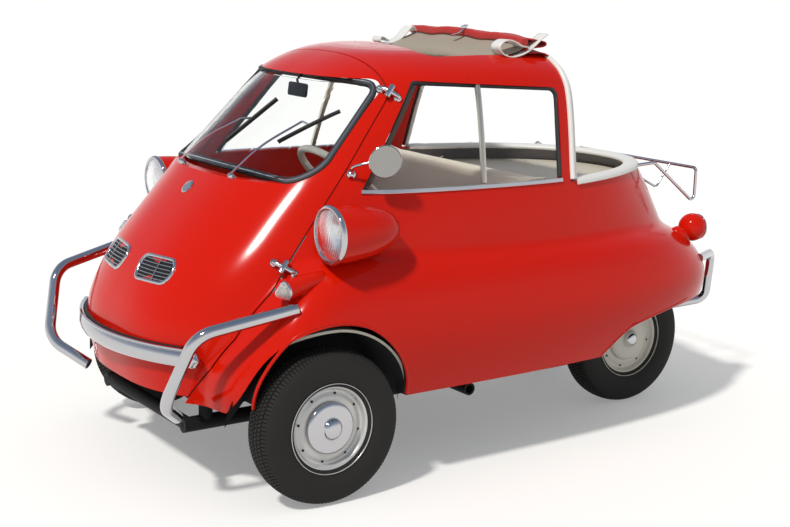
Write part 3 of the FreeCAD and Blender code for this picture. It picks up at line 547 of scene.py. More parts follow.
def fair_normals(mesh, depth):
    """Exact normals where a face lies on the skin or its inner side, flat ones on cut edges."""
    value, slope = slope_of(body_distance, read(mesh.vertices, "co", 3))
    slope /= np.maximum(np.linalg.norm(slope, axis=1), 1e-9)[:, None]
    loops = read(mesh.loops, "vertex_index", kind=np.int32)
    totals = read(mesh.polygons, "loop_total", kind=np.int32)
    flat = np.repeat(read(mesh.polygons, "normal", 3), totals, axis=0)
    exact = slope[loops]
    agree = np.sum(exact * flat, axis=1)
    exact = np.where(agree[:, None] < 0, -exact, exact)
    near = (np.abs(value[loops]) < 2.5) | (np.abs(value[loops] + depth) < 2.5)
    skin = (np.abs(agree) > 0.86) & near
    normals = np.where(skin[:, None], exact, flat)
    mesh.shade_smooth()
    mesh.normals_split_custom_set(normals.tolist())


def in_metres(mesh):
    mesh.vertices.foreach_set("co", row(read(mesh.vertices, "co", 3)).ravel())
    mesh.update()
    return mesh


WALL = 24.0  # the skin with its inner panel
ARCH_Y, ARCH_Z, ARCH_RADIUS = 4, 288, 283
WHEEL_Z = 244
cell = 9.0
outer = mesh_from("outer", *body_solid(0.0, cell))
inner = mesh_from("inner", *body_solid(WALL, cell * 1.2))

# The door's outline: level and half width from ahead, then station and level from the side
DOOR_FRONT = ((200, 262), (358, 384), (424, 436), (517, 478), (590, 492), (660, 506), (745, 520),
              (800, 640), (1500, 640))


def arc_through(a, b, c, steps=24):
    """Points of the circle's arc from a over b to c, in a plane."""
    (ax, ay), (bx, by), (cx, cy) = a, b, c
    d = 2 * (ax * (by - cy) + bx * (cy - ay) + cx * (ay - by))
    ux = ((ax * ax + ay * ay) * (by - cy) + (bx * bx + by * by) * (cy - ay)
          + (cx * cx + cy * cy) * (ay - by)) / d
    uy = ((ax * ax + ay * ay) * (cx - bx) + (bx * bx + by * by) * (ax - cx)
          + (cx * cx + cy * cy) * (bx - ax)) / d
    first = math.atan2(ay - uy, ax - ux)
    middle = math.atan2(by - uy, bx - ux)
    last = math.atan2(cy - uy, cx - ux)
    middle = first + (middle - first + math.pi) % (2 * math.pi) - math.pi
    last = middle + (last - middle + math.pi) % (2 * math.pi) - math.pi
    radius = math.hypot(ax - ux, ay - uy)
    return [(ux + radius * math.cos(first + (last - first) * i / steps),
             uy + radius * math.sin(first + (last - first) * i / steps)) for i in range(steps + 1)]


SEAM = [(392, 1700)] + arc_through((350, 1214), (28, 838), (-127, 640)) + [(-90, 0)]


def door_cutter(gap):
    """The door's space as two prisms that are intersected."""
    side_points = [(-FAR, y - gap, z) for y, z in SEAM] + [(-FAR, -FAR, 0), (-FAR, -FAR, 1700)]
    front_points = [(half - gap, -FAR, level) for level, half in DOOR_FRONT]
    front_points += [(-x, y, z) for x, y, z in reversed(front_points)]
    return prism(side_points, (2 * FAR, 0, 0)), prism(front_points, (0, 2 * FAR, 0))


def screen_points(inset):
    low, top = 957 + inset, 1263 - inset
    half_low, half_top = 448 - inset, 392 - inset
    corners = [(-half_low, low), (half_low, low), (half_top, top), (-half_top, top)]
    return rounded(corners, 62 - inset * 0.5, 10)


def window_points(inset):
    return rounded([(186 + inset * 1.6, 936 + inset), (968 - inset, 916 + inset),
                    (1006 - inset, 1214 - inset), (432 + inset * 0.6, 1258 - inset)], [6, 8, 26, 24], 8)


side_part, front_part = door_cutter(0)
door_space = carve(mesh_from("space", *side_part), [("INTERSECT", front_part)])
side_part, front_part = door_cutter(6)
door_room = carve(mesh_from("room", *side_part), [("INTERSECT", front_part)])
walls = carve(outer, [("DIFFERENCE", inner), ("DIFFERENCE", block((-FAR, -FAR, 0), (FAR, 3000, 298)))])
rear_open = [(-FAR, 1008, 905), (-FAR, 3000, 905), (-FAR, 3000, 1700), (-FAR, 1046, 1700),
             (-FAR, 1046, 1214)]
tail_edge = [(1040, 100), (1040, 200), (1150, 352), (1230, 405), (1400, 425), (2000, 440), (2000, 100)]
through = (2 * FAR, 0, 0)
roof_hole = rounded([(-332, 548), (332, 548), (332, 1004), (-332, 1004)], 60, 8)
arch_turns = np.linspace(0, 2 * math.pi, 72, endpoint=False)
arch = [(-FAR, ARCH_Y + ARCH_RADIUS * math.cos(t), 286 + ARCH_RADIUS * math.sin(t)) for t in arch_turns]
arch_points, arch_faces = prism(arch, through)
arch_left = [(max(x, 425), y, z) for x, y, z in arch_points]
arch_right = [(min(x, -425), y, z) for x, y, z in arch_points]
shell_cuts = [
    ("DIFFERENCE", door_space),
    ("DIFFERENCE", prism(rear_open, through)),
    ("DIFFERENCE", prism([(x, y, 1200) for x, y in roof_hole], (0, 0, 500))),
    ("DIFFERENCE", prism([(-FAR, y, z) for y, z in window_points(0)], through)),
    ("DIFFERENCE", (arch_left, arch_faces)), ("DIFFERENCE", (arch_right, arch_faces)),
    ("DIFFERENCE", prism([(-FAR, y, z) for y, z in tail_edge], through))]
shell = carve(walls.copy(), shell_cuts)
screen = [(x, -FAR, z) for x, z in screen_points(0)]
door = carve(walls, [("INTERSECT", door_room), ("DIFFERENCE", prism(screen, (0, 1300, 0))),
                     ("DIFFERENCE", block((-FAR, -FAR, 0), (FAR, FAR, 322)))])
print("shell", len(shell.vertices), len(shell.polygons), "door", len(door.vertices), len(door.polygons))
fair_normals(shell, WALL)
body_skin = adopt("body_skin", in_metres(shell), RED, "body", None, ("body_shell",))
fair_normals(door, WALL)
adopt("door_skin", in_metres(door), RED, "front_door", None, ("front_door",))

# Inner sides of the body: a dark grey below the belt that paints in the shade inside the body, black in the
# wheel arches and under the tail

centres = read(body_skin.data.polygons, "center", 3) * 1000 + np.array([0, SHIFT, 0])
under = body_distance(*centres.T)
choice = np.zeros(len(centres), np.int32)
in_arch = np.hypot(centres[:, 1] - ARCH_Y, centres[:, 2] - 286) < 330
# Index 1: the inner panels below the belt, in the painted-shade grey
choice[(under < -8) & (centres[:, 2] < np.where(centres[:, 1] < 1000, 800, 900))] = 1
choice[(under < -3) & in_arch & (np.abs(centres[:, 0]) > 420)] = 2
choice[(under < -8) & (centres[:, 2] < 640) & (centres[:, 1] > 960)] = 2
body_skin.data.materials.append(PAINTED_SHADE_PANEL)
body_skin.data.materials.append(BLACK)
body_skin.data.polygons.foreach_set("material_index", choice)

# The floor pan is black below, behind and in its wheel houses

pan = NODES["floor_pan"].data
pan.materials.append(BLACK)
for polygon in pan.polygons:
    x, y, z = abs(polygon.center.x) * 1000, polygon.center.y * 1000 + SHIFT, polygon.center.z * 1000
    in_house = math.hypot(y, z - WHEEL_Z) < 301.5 and x > 395
    faces_away = polygon.normal.y < -0.7 or polygon.normal.z < -0.5
    polygon.material_index = int(z < 300.5 or in_house or y > 955.5 or faces_away)

# Door seam: a dark rubber strip at the bottom of the gap


def cabin_row(z):
    return CABIN_ROWS[int((z - LEVELS[0]) / LEVEL_STEP)]


def side_x(y, z):
    """Half width of the cabin at a station and level."""
    nose, tail, half, widest, p_nose, p_tail = cabin_row(z)
    reach, power = (widest - nose, p_nose) if y < widest else (tail - widest, p_tail)
    share = 1 - (abs(y - widest) / reach) ** power
    return half * max(share, 0) ** (1 / power)


def nose_y(x, z):
    """Station of the cabin's nose side at a half width and level."""
    nose, tail, half, widest, p_nose, p_tail = cabin_row(z)
    share = 1 - (min(abs(x), half * 0.999) / half) ** p_nose
    return widest - (widest - nose) * max(share, 0) ** (1 / p_nose)


seam_levels = np.array([z for y, z in SEAM][::-1])
seam_stations = np.array([y for y, z in SEAM][::-1])
front_levels, front_halves = np.array(DOOR_FRONT, float).T
seam_line = []
for z in np.arange(330, 1352, 8.0):
    station = np.interp(z, seam_levels, seam_stations) - 3
    half = np.interp(z, front_levels, front_halves) - 3
    by_front = (half, nose_y(half, z), z)
    by_side = (side_x(station, z), station, z)
    seam_line.append(min(by_front, by_side, key=lambda p: p[0]))
seam_line = [p for p in seam_line if p[0] > 30]
seam_line += [(-x, y, z) for x, y, z in reversed(seam_line)]
deep, seam_normals = to_surface(seam_line, 9.0)
points, faces = swept(deep, [(-5, -4), (5, -4), (5, 4), (-5, 4)], seam_normals)
piece("door_gasket", points, faces, RUBBER, "body", "seal_rubber")

# Windscreen seal with its bright insert


def on_front(flat, depth=0.0):
    return to_surface([(x, nose_y(x, z), z) for x, z in flat], depth)


ring, ring_normals = on_front(screen_points(8.0), 0.0)
section = [(-10, -12), (-10.5, 1.5), (-8.5, 3.8), (-4.5, 4.6), (0, 3.9), (4.5, 4.6), (8.5, 3.8),
           (10.5, 1.5), (10, -12)]
points, faces = swept(ring, section, ring_normals, closed=True)
piece("screen_seal", points, faces, RUBBER, "front_door", "seal_rubber", 50, ("windscreen_seal",))
points, faces = swept(ring + ring_normals * 4.2, round_section(2.3, 8), ring_normals, closed=True)
piece("screen_insert", points, faces, CHROME, "front_door", "chrome")

# Side windows: gasket, sill strip, divider


def on_side(flat, depth=0.0):
    return to_surface([(side_x(y, z), y, z) for y, z in flat], depth)


def strip(finder, line, depth, section, closed=False):
    """Section swept along a line of the nose or side, a depth under the skin."""
    ring, ring_normals = finder(line, depth)
    return swept(ring, section, ring_normals, closed)


frame_line = [(y, z) for y, z in window_points(2.0) if z > 960]
turn_at = max(range(len(frame_line)), key=lambda i: math.dist(frame_line[i - 1], frame_line[i]))
frame_line = frame_line[turn_at:] + frame_line[:turn_at]
first, last = frame_line[0], frame_line[-1]
lower_of = {True: (964, 926), False: (190, 944)}
frame_line = [lower_of[first[0] > 600]] + frame_line + [lower_of[last[0] > 600]]
gasket = strip(on_side, frame_line, 5.0, [(-5, -9), (-5, 3), (-3, 5), (3, 5), (5, 3), (5, -9)])
piece("window_gaskets", *both_sides(gasket), RUBBER, "body", "seal_rubber", 50, ("window_frames",))
channel = [(204 + 236 * share, 946 + 304 * share) for share in np.linspace(0, 1, 14)]
channel = strip(on_side, channel, 12.0, [(-8, -7), (-8, 5), (8, 5), (8, -7)])
piece("window_channels", *both_sides(channel), DARK, "body", "bright_metal", 50)
PANE_THICKNESS = 4.0
outline = window_points(0.5)
middle = np.mean(outline, axis=0)
sheets = [on_side([middle + (np.array(spot) - middle) * share for spot in outline], 10.0)[0]
          for share in (1.0, 0.8, 0.6, 0.4, 0.2, 0.01)]
points = np.concatenate(sheets)
inner_points = points - np.array([PANE_THICKNESS, 0, 0])
faces = grid_faces(len(sheets), len(outline))
pane = joined([(points, faces), (inner_points, [face[::-1] for face in faces])])
piece("side_panes", *both_sides(pane), GLASS, "body", "clear_glass", 60, ("side_glass",))
sill = [(y, 934.0 - 19.0 * (y - 190) / 780) for y in np.linspace(186, 966, 44)]
sill = strip(on_side, sill, -0.5, [(-6.5, -8), (-6.5, 3.5), (-5, 5), (5, 5), (6.5, 3.5), (6.5, -8)])
SILL = shader("sill_aluminium", (0.55, 0.56, 0.58), 0.3, 0.85)
piece("window_sills", *both_sides(sill), SILL, "body", "bright_metal", 40)
post = [(630 + 46 * share, 934 + 320 * share) for share in np.linspace(0, 1, 14)]
post = strip(on_side, post, 8.0, [(-8, -7), (-8, 4), (-5, 6), (5, 6), (8, 4), (8, -7)])
piece("window_dividers", *both_sides(post), BRIGHT, "body", "bright_metal", 40)

# White vinyl: two tubes up each rear post, and the wide lip round the open back


def post_line(reach, depth):
    """Up the rear post and in over the roof's edge, a reach behind the shell's cut."""
    marks = []
    for z in np.arange(912, 1300, 12.0):
        rise = min((z - 905) / 309, 1)
        y = 1008 + 38 * rise + reach
        marks.append((side_x(y, z), y, z))
    x_top = marks[-1][0]
    roof_levels = LEVELS[2240:2412]
    for x in np.linspace(x_top - 20, 340, 3):
        k = np.argmin(np.abs([side_x(1046 + reach, z) - x for z in roof_levels]))
        marks.append((x, 1046 + reach, roof_levels[k]))
    return to_surface(marks, depth)


tubes = []
for reach, depth, radius in ((9, -3, 9.5), (28, 6, 9)):
    tubes.append(strip(post_line, reach, depth, round_section(radius, 14)))
piece("post_piping", *both_sides(joined(tubes)), VINYL, "body", "white_vinyl", 50)
# A black tube between the two white pipings: painted shade in the gap between them
gap = strip(post_line, 18, 6, round_section(7, 8))
piece("post_gap_painted_shade", *both_sides(gap), RUBBER, "body", "seal_rubber", 50)

lip = []
nose, tail, half, widest, p_nose, p_tail = cabin_row(906)
for turn in np.linspace(0, 1, 60):
    angle = math.pi / 2 * turn
    x = half * math.cos(angle) ** (2 / p_tail) if turn < 1 else 0.0
    y = widest + (tail - widest) * math.sin(angle) ** (2 / p_tail)
    if y > 1022:
        lip.append((x, y, 906))
lip += [(-x, y, z) for x, y, z in reversed(lip[:-1])]
ring, ring_normals = to_surface(lip, 16.0)
lip_section = [(27, -7), (27, 2), (22, 8), (12, 11), (-6, 11), (-20, 9), (-29, 4), (-30, -2), (-26, -7),
               (-10, -8), (10, -9), (20, -10)]
piece("rear_lip", *swept(ring, lip_section, (0, 0, 1)), VINYL, "body", "white_vinyl", 60, ("hood_trim",))
piping = strip(to_surface, [(x, y, 895) for x, y, z in lip], -2.0, round_section(4.5, 10))
piece("rear_lip_piping", *piping, VINYL, "body", "white_vinyl", 60)

# Lamps, as outlines of (distance along the axis, radius)

TIP = 0.05


def bullet(rim, length, steps=26, blunt=0.8):
    """Outline from a rim to a blunt tip."""
    return [(length * math.sin(math.pi / 2 * i / steps),
             max(rim * abs(math.cos(math.pi / 2 * i / steps)) ** blunt, TIP)) for i in range(steps + 1)]


HEAD = (616, 20, 833)
pod = revolved([(0, 76), (0, 86), (2, 88)] + bullet(88, 232)[1:], HEAD, (0, 1, 0), 72)
neck = revolved([(0, 48), (20, 36), (60, 33), (110, 33)], (500, 131, 833), (1, 0, 0), 32)
piece("lamp_pods", *both_sides(joined([pod, neck])), RED, "body", "red_paint", 40, ("headlamp_pods",))
ring = revolved([(1, 80), (1, 88.5), (-3, 91), (-8, 91), (-13, 88), (-15, 83), (-14, 79), (-9, 78),
                 (1, 80)], HEAD, (0, 1, 0), 72)
piece("lamp_rims", *both_sides(ring), CHROME, "body", "chrome", 50, ("headlamp_rings",))
radii = (74, 66, 56, 44, 32, 20, 10, TIP)
bowl = revolved([(-2, 79)] + [(-2 + 62 * (1 - (r / 79) ** 2), r) for r in radii], HEAD, (0, 1, 0), 64)
bowl = (bowl[0], [face[::-1] for face in bowl[1]])
bulb = ball((HEAD[0], HEAD[1] + 34, HEAD[2]), 11)
REFLECTOR = shader("lamp_reflector", (0.74, 0.74, 0.74), 0.34, 1.0)
piece("lamp_reflectors", *both_sides(bowl), REFLECTOR, "body", "chrome", 60)
BULB = shader("bulb_glass", (0.75, 0.73, 0.66), 0.2)
piece("lamp_bulbs", *both_sides(bulb), BULB, "body", "clear_glass", 60)
radii = (78,) + radii
dome = [(-9 - 20 * (1 - (r / 78) ** 2), r) for r in radii]
back = [(-5 - 20 * (1 - (r / 78) ** 2), r) for r in radii[::-1]]
glass = revolved(dome + back, HEAD, (0, 1, 0), 64)
HEADGLASS = shader("headlamp_glass", (0.97, 0.98, 1.0), 0.02, 0.0, Transmission_Weight=1.0, IOR=1.2)
add_bump(HEADGLASS, 42, 0.35, 0.0015, "Wave")
piece("lamp_glasses", *both_sides(glass), HEADGLASS, "body", "clear_glass", 60, ("headlamp_lenses",))

BLINK = (583, -116, 674)
lean = (0, 0.97, 0.22)
base = revolved([(0, 24), (0, 30)] + bullet(30, 150)[1:], BLINK, lean, 48)
foot = revolved([(0, 20), (96, 18)], (583, -64, 674), (0, 0.4, -0.9), 24)
piece("blinker_bases", *both_sides(joined([base, foot])), RED, "body", "red_paint", 50,
      ("indicator_bases",))
ring = revolved([(2, 30.5), (-1, 32), (-5, 31.5), (-6, 28), (2, 28)], BLINK, lean, 48)
piece("blinker_rims", *both_sides(ring), CHROME, "body", "chrome", 50)
cone = revolved([(-3, 28.5), (-8, 28), (-14, 25.5), (-17, 21), (-24, 18.5), (-30, 13), (-35, 9), (-38, 4),
                 (-38.5, TIP), (-33, TIP), (-28, 10), (-20, 16), (-12, 22), (-3, 26)], BLINK, lean, 48)
MILK = shader("blinker_glass", (0.86, 0.86, 0.83), 0.10, 0.0, Transmission_Weight=0.75, IOR=1.35)
piece("blinker_glasses", *both_sides(cone), MILK, "body", "clear_glass", 40, ("indicator_lenses",))
HOLDER = shader("bulb_holder", (0.7, 0.66, 0.55), 0.3, 0.6)
piece("blinker_bulbs", *both_sides(ball((583, -122, 675), 12)), HOLDER, "body", "chrome", 60)

TAIL = (385, 1722, 660)
globe = [(-52 * math.cos(t), 52 * math.sin(t)) for t in np.linspace(0.08, 2.10, 26)]
sphere = revolved([(-52, TIP)] + globe, TAIL, (0, 1, 0), 56)
(seat_at,), _ = to_surface([(385, 1668, 640)], 8.0, 6)
cup = revolved([(-46, TIP), (-42, 14), (-28, 26), (-4, 32), (20, 29), (40, 18), (48, TIP)],
               seat_at, (0, 0.86, -0.5), 40)
piece("tail_balls", *both_sides(joined([sphere, cup])), RED, "body", "red_paint", 50, ("tail_lamps",))
ring = revolved([(24, 45), (25, 48), (30, 47.5), (33, 44), (33, 40), (27, 40)], TAIL, (0, 1, 0), 56)
stem = revolved([(-2, 14), (20, 11), (48, 13)], seat_at, (0, 0.62, 0.78), 24)
piece("tail_rims", *both_sides(joined([ring, stem])), CHROME, "body", "chrome", 50)
lens = revolved([(30, 41), (36, 39), (42, 30), (46, 16), (47, TIP)], TAIL, (0, 1, 0), 48)
piece("tail_lenses", *both_sides(lens), TAIL_RED, "body", "clear_glass", 50, ("tail_lamp_lenses",))

# Bumper blade with a rolled top lip and rounded ends

BLADE_HALF, BLADE_TIP, BLADE_NOSE, BLADE_Z = 434.0, -332.0, -472.0, 455
sag = BLADE_TIP - BLADE_NOSE
bow = (BLADE_HALF ** 2 + sag ** 2) / (2 * sag)
swing = math.asin(BLADE_HALF / bow)
blade_section = [(-29, -10), (-30, -4), (-27, 3), (-19, 9), (-8, 12), (4, 12), (14, 8), (20, 4), (23, 6),
                 (26, 9), (30, 8), (32, 3), (31, -3), (27, -7), (18, -6), (0, 2), (-18, -3)]
path, points = [], []
for share in np.linspace(-1, 1, 81):
    angle = swing * share
    x, y = bow * math.sin(angle), BLADE_NOSE + bow - bow * math.cos(angle)
    path.append((x, y))
    left = (1 - abs(share)) * bow * swing
    size = math.sqrt(max(1 - (1 - min(left / 24, 1)) ** 2, 0.02))
    points += [(x + math.sin(angle) * out_by, y - math.cos(angle) * out_by, BLADE_Z + high * size)
               for high, out_by in blade_section]
count = len(blade_section)
faces = grid_faces(len(path), count)
faces += [list(range(count))[::-1], [(len(path) - 1) * count + i for i in range(count)]]
struts = [swept([(x, -452, BLADE_Z), (x, -410, BLADE_Z)], round_section(9, 12)) for x in (-210, 210)]
piece("bumper", *joined([(points, faces)] + struts), CHROME, "front_door", "chrome", 40,
      ("bumper_blade",))
strip_path = [(x * 0.985, y + 12, 484) for x, y in path[6:-6]]
points, faces = swept(strip_path, [(-5, -3), (-5, 3), (5, 4), (5, -3)], (0, 0, 1))
piece("bumper_strip", points, faces, RUBBER, "front_door", "seal_rubber", 40)

# Grilles in the nose, with black sheets behind the slats as painted shade in the openings

frames, shaded_backs, slats = [], [], []
frame_section = [(-6, -3), (-6, 2), (-3.5, 4.5), (0, 5), (3.5, 4), (6, 1), (6, -3)]
for side in (1, -1):
    flat = rounded([(46, 716), (226, 720), (246, 652), (70, 648)], [26, 30, 30, 26], 8)
    flat = [(side * x, z) for x, z in flat]
    if side < 0:
        flat.reverse()
    frames.append(strip(on_front, flat, -1.0, frame_section, closed=True))
    middle = np.mean(flat, axis=0)
    rings = [on_front([middle + (np.array(p) - middle) * s for p in flat], -0.8)[0]
             for s in (1.0, 0.75, 0.5, 0.25, 0.02)]
    faces = grid_faces(5, len(flat))
    shaded_backs.append((np.concatenate(rings), faces if side > 0 else [f[::-1] for f in faces]))
    for level in np.linspace(659, 709, 6):
        share = (level - 650) / 68
        left, right_end = 70 - 24 * share + 8, 246 - 20 * share - 8
        line = [(side * x, level) for x in np.linspace(left, right_end, 12)]
        slats.append(strip(on_front, line, -2.5, [(-1.7, -2), (-1.7, 1.2), (1.7, 1.2), (1.7, -2)]))
    line = [(side * (168 - 8 * t), 653 + 62 * t) for t in np.linspace(0, 1, 8)]
    slats.append(strip(on_front, line, -3.2, [(-2, -2), (-2, 1.5), (2, 1.5), (2, -2)]))
piece("grille_frames", *joined(frames), CHROME, "front_door", "chrome", 50, ("grilles",))
# Black sheets on the nose inside each grille frame: painted shade where the openings are dark
piece("grille_painted_shade", *joined(shaded_backs), BLACK, "front_door", "seal_rubber", 50)
piece("grille_slats", *joined(slats), DULL, "front_door", "chrome", 50)

# Bare round disc on the nose

spot, spot_normal = on_front([(0, 908)], 0.0)
disc = revolved([(-3, 25), (2.5, 25), (4.5, 22.5), (4.8, 18), (4.0, 17.5), (4.2, TIP)],
                spot[0], spot_normal[0], 48)
piece("nose_disc", *disc, CHROME, "front_door", "chrome", 40)

# Wipers

arms, blades = [], []
for pivot, elbow, low, high in (((-168, 962), (24, 1104), (11, 1046), (96, 1183)),
                                ((189, 958), (300, 1120), (261, 1067), (362, 1165))):
    foot, foot_normal = on_front([pivot], -2)
    tip, _ = on_front([elbow], -24)
    knob = revolved([(-10, 10), (8, 10), (14, 7), (16, TIP)], foot[0], foot_normal[0], 20)
    start = foot[0] + foot_normal[0] * 12
    middle, _ = on_front([((pivot[0] + elbow[0]) / 2, (pivot[1] + elbow[1]) / 2)], -30)
    arm = swept(smooth_path([start, middle[0], tip[0]], 8), [(-4, -1.5), (-4, 1.5), (4, 1.5), (4, -1.5)],
                foot_normal[0])
    line, line_normals = on_front([(low[0] + (high[0] - low[0]) * t, low[1] + (high[1] - low[1]) * t)
                                   for t in np.linspace(0, 1, 14)], -8)
    blades.append(swept(line, [(-3, -9), (-4, 3), (0, 6), (4, 3), (3, -9)], line_normals))
    arms += [knob, arm, swept([tip[0], line[7]], round_section(3.5, 8))]
piece("wiper_arms", *joined(arms), CHROME, "front_door", "chrome", 45, ("wipers",))
piece("wiper_blades", *joined(blades), RUBBER, "front_door", "seal_rubber", 45)

# Outside mirror on its stalk, and the inside mirror

head = np.array([598.0, 220, 1036])
face_way = Vector((0.93, -0.34, -0.12)).normalized()
cup = revolved([(2, 50), (0, 52), (-4, 51.5), (-12, 46), (-20, 36), (-26, 22), (-29, 8), (-29.5, TIP)],
               head, face_way, 48)
glass_face = revolved([(0.5, TIP), (0.5, 49), (2.5, 50.5)], head, face_way, 48)
(base,), (outward,) = on_side([(168, 986)], -1)
boss = revolved([(-4, 17), (6, 16), (12, 11), (15, 6), (16, TIP)], base, outward, 28)
stalk = swept(smooth_path([base + outward * 12, base + outward * 42 + [0, 8, 12],
                           head - np.array(face_way) * 26], 10), round_section(5, 12))
piece("wing_mirror", *joined([cup, boss, stalk]), CHROME, "body", "chrome", 45, ("mirror",))
SILVERED = shader("mirror_glass", (0.34, 0.33, 0.32), 0.03, 1.0)
piece("wing_mirror_face", *glass_face, SILVERED, "body", "chrome", 45)
mirror_at = np.array([30.0, 245, 1205])
tilted = [mirror_at + np.array([a, 0.15 * b, b]) for a, b in
          rounded([(-58, -22), (58, -22), (58, 22), (-58, 22)], 10, 5)]
plate = prism(tilted, (0, -8, 1.2))
arm = swept(smooth_path([(30, 262, 1262), (30, 240, 1240), (30, 250, 1210)], 8), round_section(4, 10))
piece("cabin_mirror", *joined([plate, arm]), BLACK, "front_door", "seal_rubber", 45)

# Rolled edges of the sheet metal: round the arches and along the tail

edges = []
arch_line = [(640, ARCH_Y + ARCH_RADIUS * math.cos(turn), ARCH_Z + ARCH_RADIUS * math.sin(turn))
             for turn in np.linspace(0.04, 3.10, 60)]
edges.append(swept(to_surface(arch_line, 3.0, 5)[0], round_section(5.5, 10)))
tail_line = smooth_path([(600, y, z) for y, z in ((1048, 222), (1090, 282), (1150, 350), (1190, 383),
                                                  (1232, 404), (1310, 416), (1400, 424), (1560, 431))], 6)
tail_marks = to_surface(tail_line, 3.0, 5)[0]
edges.append(swept([spot for spot in tail_marks if spot[2] > 296], round_section(5.5, 10)))
piece("rolled_edges", *both_sides(joined(edges)), RED, "body", "red_paint", 50)

# Corner bars, bent from tube

BAR = [(617, -98, 623), (552, -400, 566), (468, -468, 340), (352, -372, 262)]
bar = swept(bent(BAR, 95, 12), round_section(19, 24))
piece("corner_tubes", *both_sides(bar), CHROME, "body", "chrome", 45, ("corner_bars",))

# Liners that close the wheel arches above the wheel houses

liner = []
for share in np.linspace(0.02, 0.98, 50):
    angle = math.pi * share
    (rim_at,), _ = to_surface([(640, ARCH_Y + 284 * math.cos(angle), ARCH_Z + 284 * math.sin(angle))],
                              12.0, 5)
    liner.append([rim_at, rim_at + [-60, 0, 0],
                  (min(rim_at[0] - 60, 560), 299 * math.cos(angle), WHEEL_Z + 299 * math.sin(angle))])
points = [p for strip in zip(*liner) for p in strip]
faces = grid_faces(3, len(liner), close_ring=False)
piece("arch_liners", *both_sides((points, faces)), BLACK, "body", "chassis_paint", 60)

# Soft top: folded back behind the roof opening, its sides curling up in white vinyl

TOP_HALF = 350


def ribbon(name, profile, spans, material, thickness, sag=None):
    """Cloth strip: a profile in (y, z) carried from one X to another, as one sheet of even thickness."""
    line = smooth_path([(0, y, z) for y, z in profile], 6)
    points = []
    for x in spans:
        for spot in line:
            drop = sag(x, spot) if sag else np.zeros(3)
            points.append(spot + [x, 0, 0] + drop)
    faces = grid_faces(len(spans), len(line), close_ring=False)
    thing = piece(name, points, faces, material, "body", "hood_cloth", None)
    thicken = thing.modifiers.new("thickness", "SOLIDIFY")
    thicken.thickness = thickness / 1000
    thicken.offset = 0


def wrinkles(x, spot):
    """Soft waves along and across the folded cloth."""
    side = x / TOP_HALF
    crown = -10 * side * side + 12 * (1 - side) / 2
    wave = 2.2 * math.sin(x / 47 + spot[1] / 61) + 1.6 * math.sin(x / 23 - spot[2] / 17)
    return np.array([0, 3 * math.sin(x / 83), crown + wave - 6])


spans = list(np.linspace(-338, 338, 61))
pack = [(1044, 1304), (1052, 1326), (1030, 1340), (985, 1342), (958, 1344), (956, 1352), (990, 1358),
        (1030, 1361), (1042, 1368), (1034, 1376), (1000, 1382), (962, 1386)]
ribbon("hood_folds", pack, spans, CLOTH, 3.0, wrinkles)
lining = [(952, 1366), (926, 1352), (890, 1341), (850, 1332), (822, 1318), (816, 1296), (860, 1290),
          (950, 1288), (1036, 1286)]
ribbon("hood_lining", lining, spans, LINING, 2.0, wrinkles)
bow_line = [np.array([x, 948, 1376]) + wrinkles(x, (0, 948, 1376)) for x in spans]
bow_section = rounded([(-14, -13), (14, -13), (14, 13), (-14, 13)], 7, 4)
points, faces = swept(bow_line, bow_section, (0, 0, 1))
piece("hood_bow", points, faces, CLOTH, "body", "hood_cloth", 60, ("folded_top",))
scroll = [(1035, 1386), (1006, 1367), (972, 1342), (938, 1323), (888, 1313), (850, 1323), (832, 1345),
          (845, 1363), (873, 1370), (903, 1361), (929, 1348), (956, 1344)]
near_side = list(np.linspace(300, 352, 8))
ribbon("hood_edge_left", scroll, near_side, VINYL, 4.0)
far_scroll = [(1035, 1380), (1006, 1366), (972, 1352), (945, 1360), (925, 1382), (905, 1372), (873, 1343),
              (830, 1326), (800, 1324), (776, 1334), (786, 1349), (815, 1334)]
ribbon("hood_edge_right", far_scroll, [-x for x in near_side], VINYL, 4.0)
latch = prism([(-14, 930, 1392), (14, 930, 1392), (10, 948, 1398), (-10, 948, 1398)], (0, 0, 6))
latch_bar = swept([(0, 946, 1392), (0, 910, 1372), (0, 884, 1368)],
                  [(-6, -2), (-6, 2), (6, 2), (6, -2)], (0, 0, 1))
piece("hood_latch", *joined([latch, latch_bar]), CHROME, "body", "chrome", 40)

# Bench seat: padded cushion and back

CLOTH_STEPS = 20


def plump(name, node, material, shrink=6.0, cap=0.012, voxel=0.009):
    """Stuffed pad in a CAD solid's space: remeshed, swollen by cloth pressure and smoothed."""
    thing = placed(name, NODES[node].data.copy())
    remesh = thing.modifiers.new("remesh", "REMESH")
    remesh.mode = "VOXEL"
    remesh.voxel_size = voxel
    mesh = thing.data = applied(thing)
    for vertex in mesh.vertices:
        vertex.co -= vertex.normal * (shrink / 1000)
    rest = [vertex.co.copy() for vertex in mesh.vertices]
    cloth = thing.modifiers.new("cloth", "CLOTH")
    cloth.settings.use_pressure = True
    cloth.settings.uniform_pressure_force = 4
    cloth.settings.effector_weights.gravity = 0
    scene = bpy.context.scene
    for step in range(1, CLOTH_STEPS + 1):
        scene.frame_set(step)
    graph = bpy.context.evaluated_depsgraph_get()
    swollen = thing.evaluated_get(graph).to_mesh()
    moved = []
    for before, vertex in zip(rest, swollen.vertices):
        way = vertex.co - before
        if way.length > cap:
            way = way * (cap / way.length)
        moved.append(before + way)
    thing.evaluated_get(graph).to_mesh_clear()
    thing.modifiers.clear()
    scene.frame_set(1)
    for vertex, spot in zip(mesh.vertices, moved):
        vertex.co = spot
    ease = thing.modifiers.new("ease", "SMOOTH")
    ease.factor = 0.6
    ease.iterations = 6
    finer = thing.modifiers.new("finer", "SUBSURF")
    finer.levels = finer.render_levels = 1
    mesh = applied(thing)
    bpy.data.objects.remove(thing)
    adopt(name, mesh, material, body_of[node], None, (node,))


for node in ("seat_cushion", "seat_back"):
    plump(node + "_pad", node, SEAT)

# Door hinges: an arm from the door and one from the body meet at a barrel

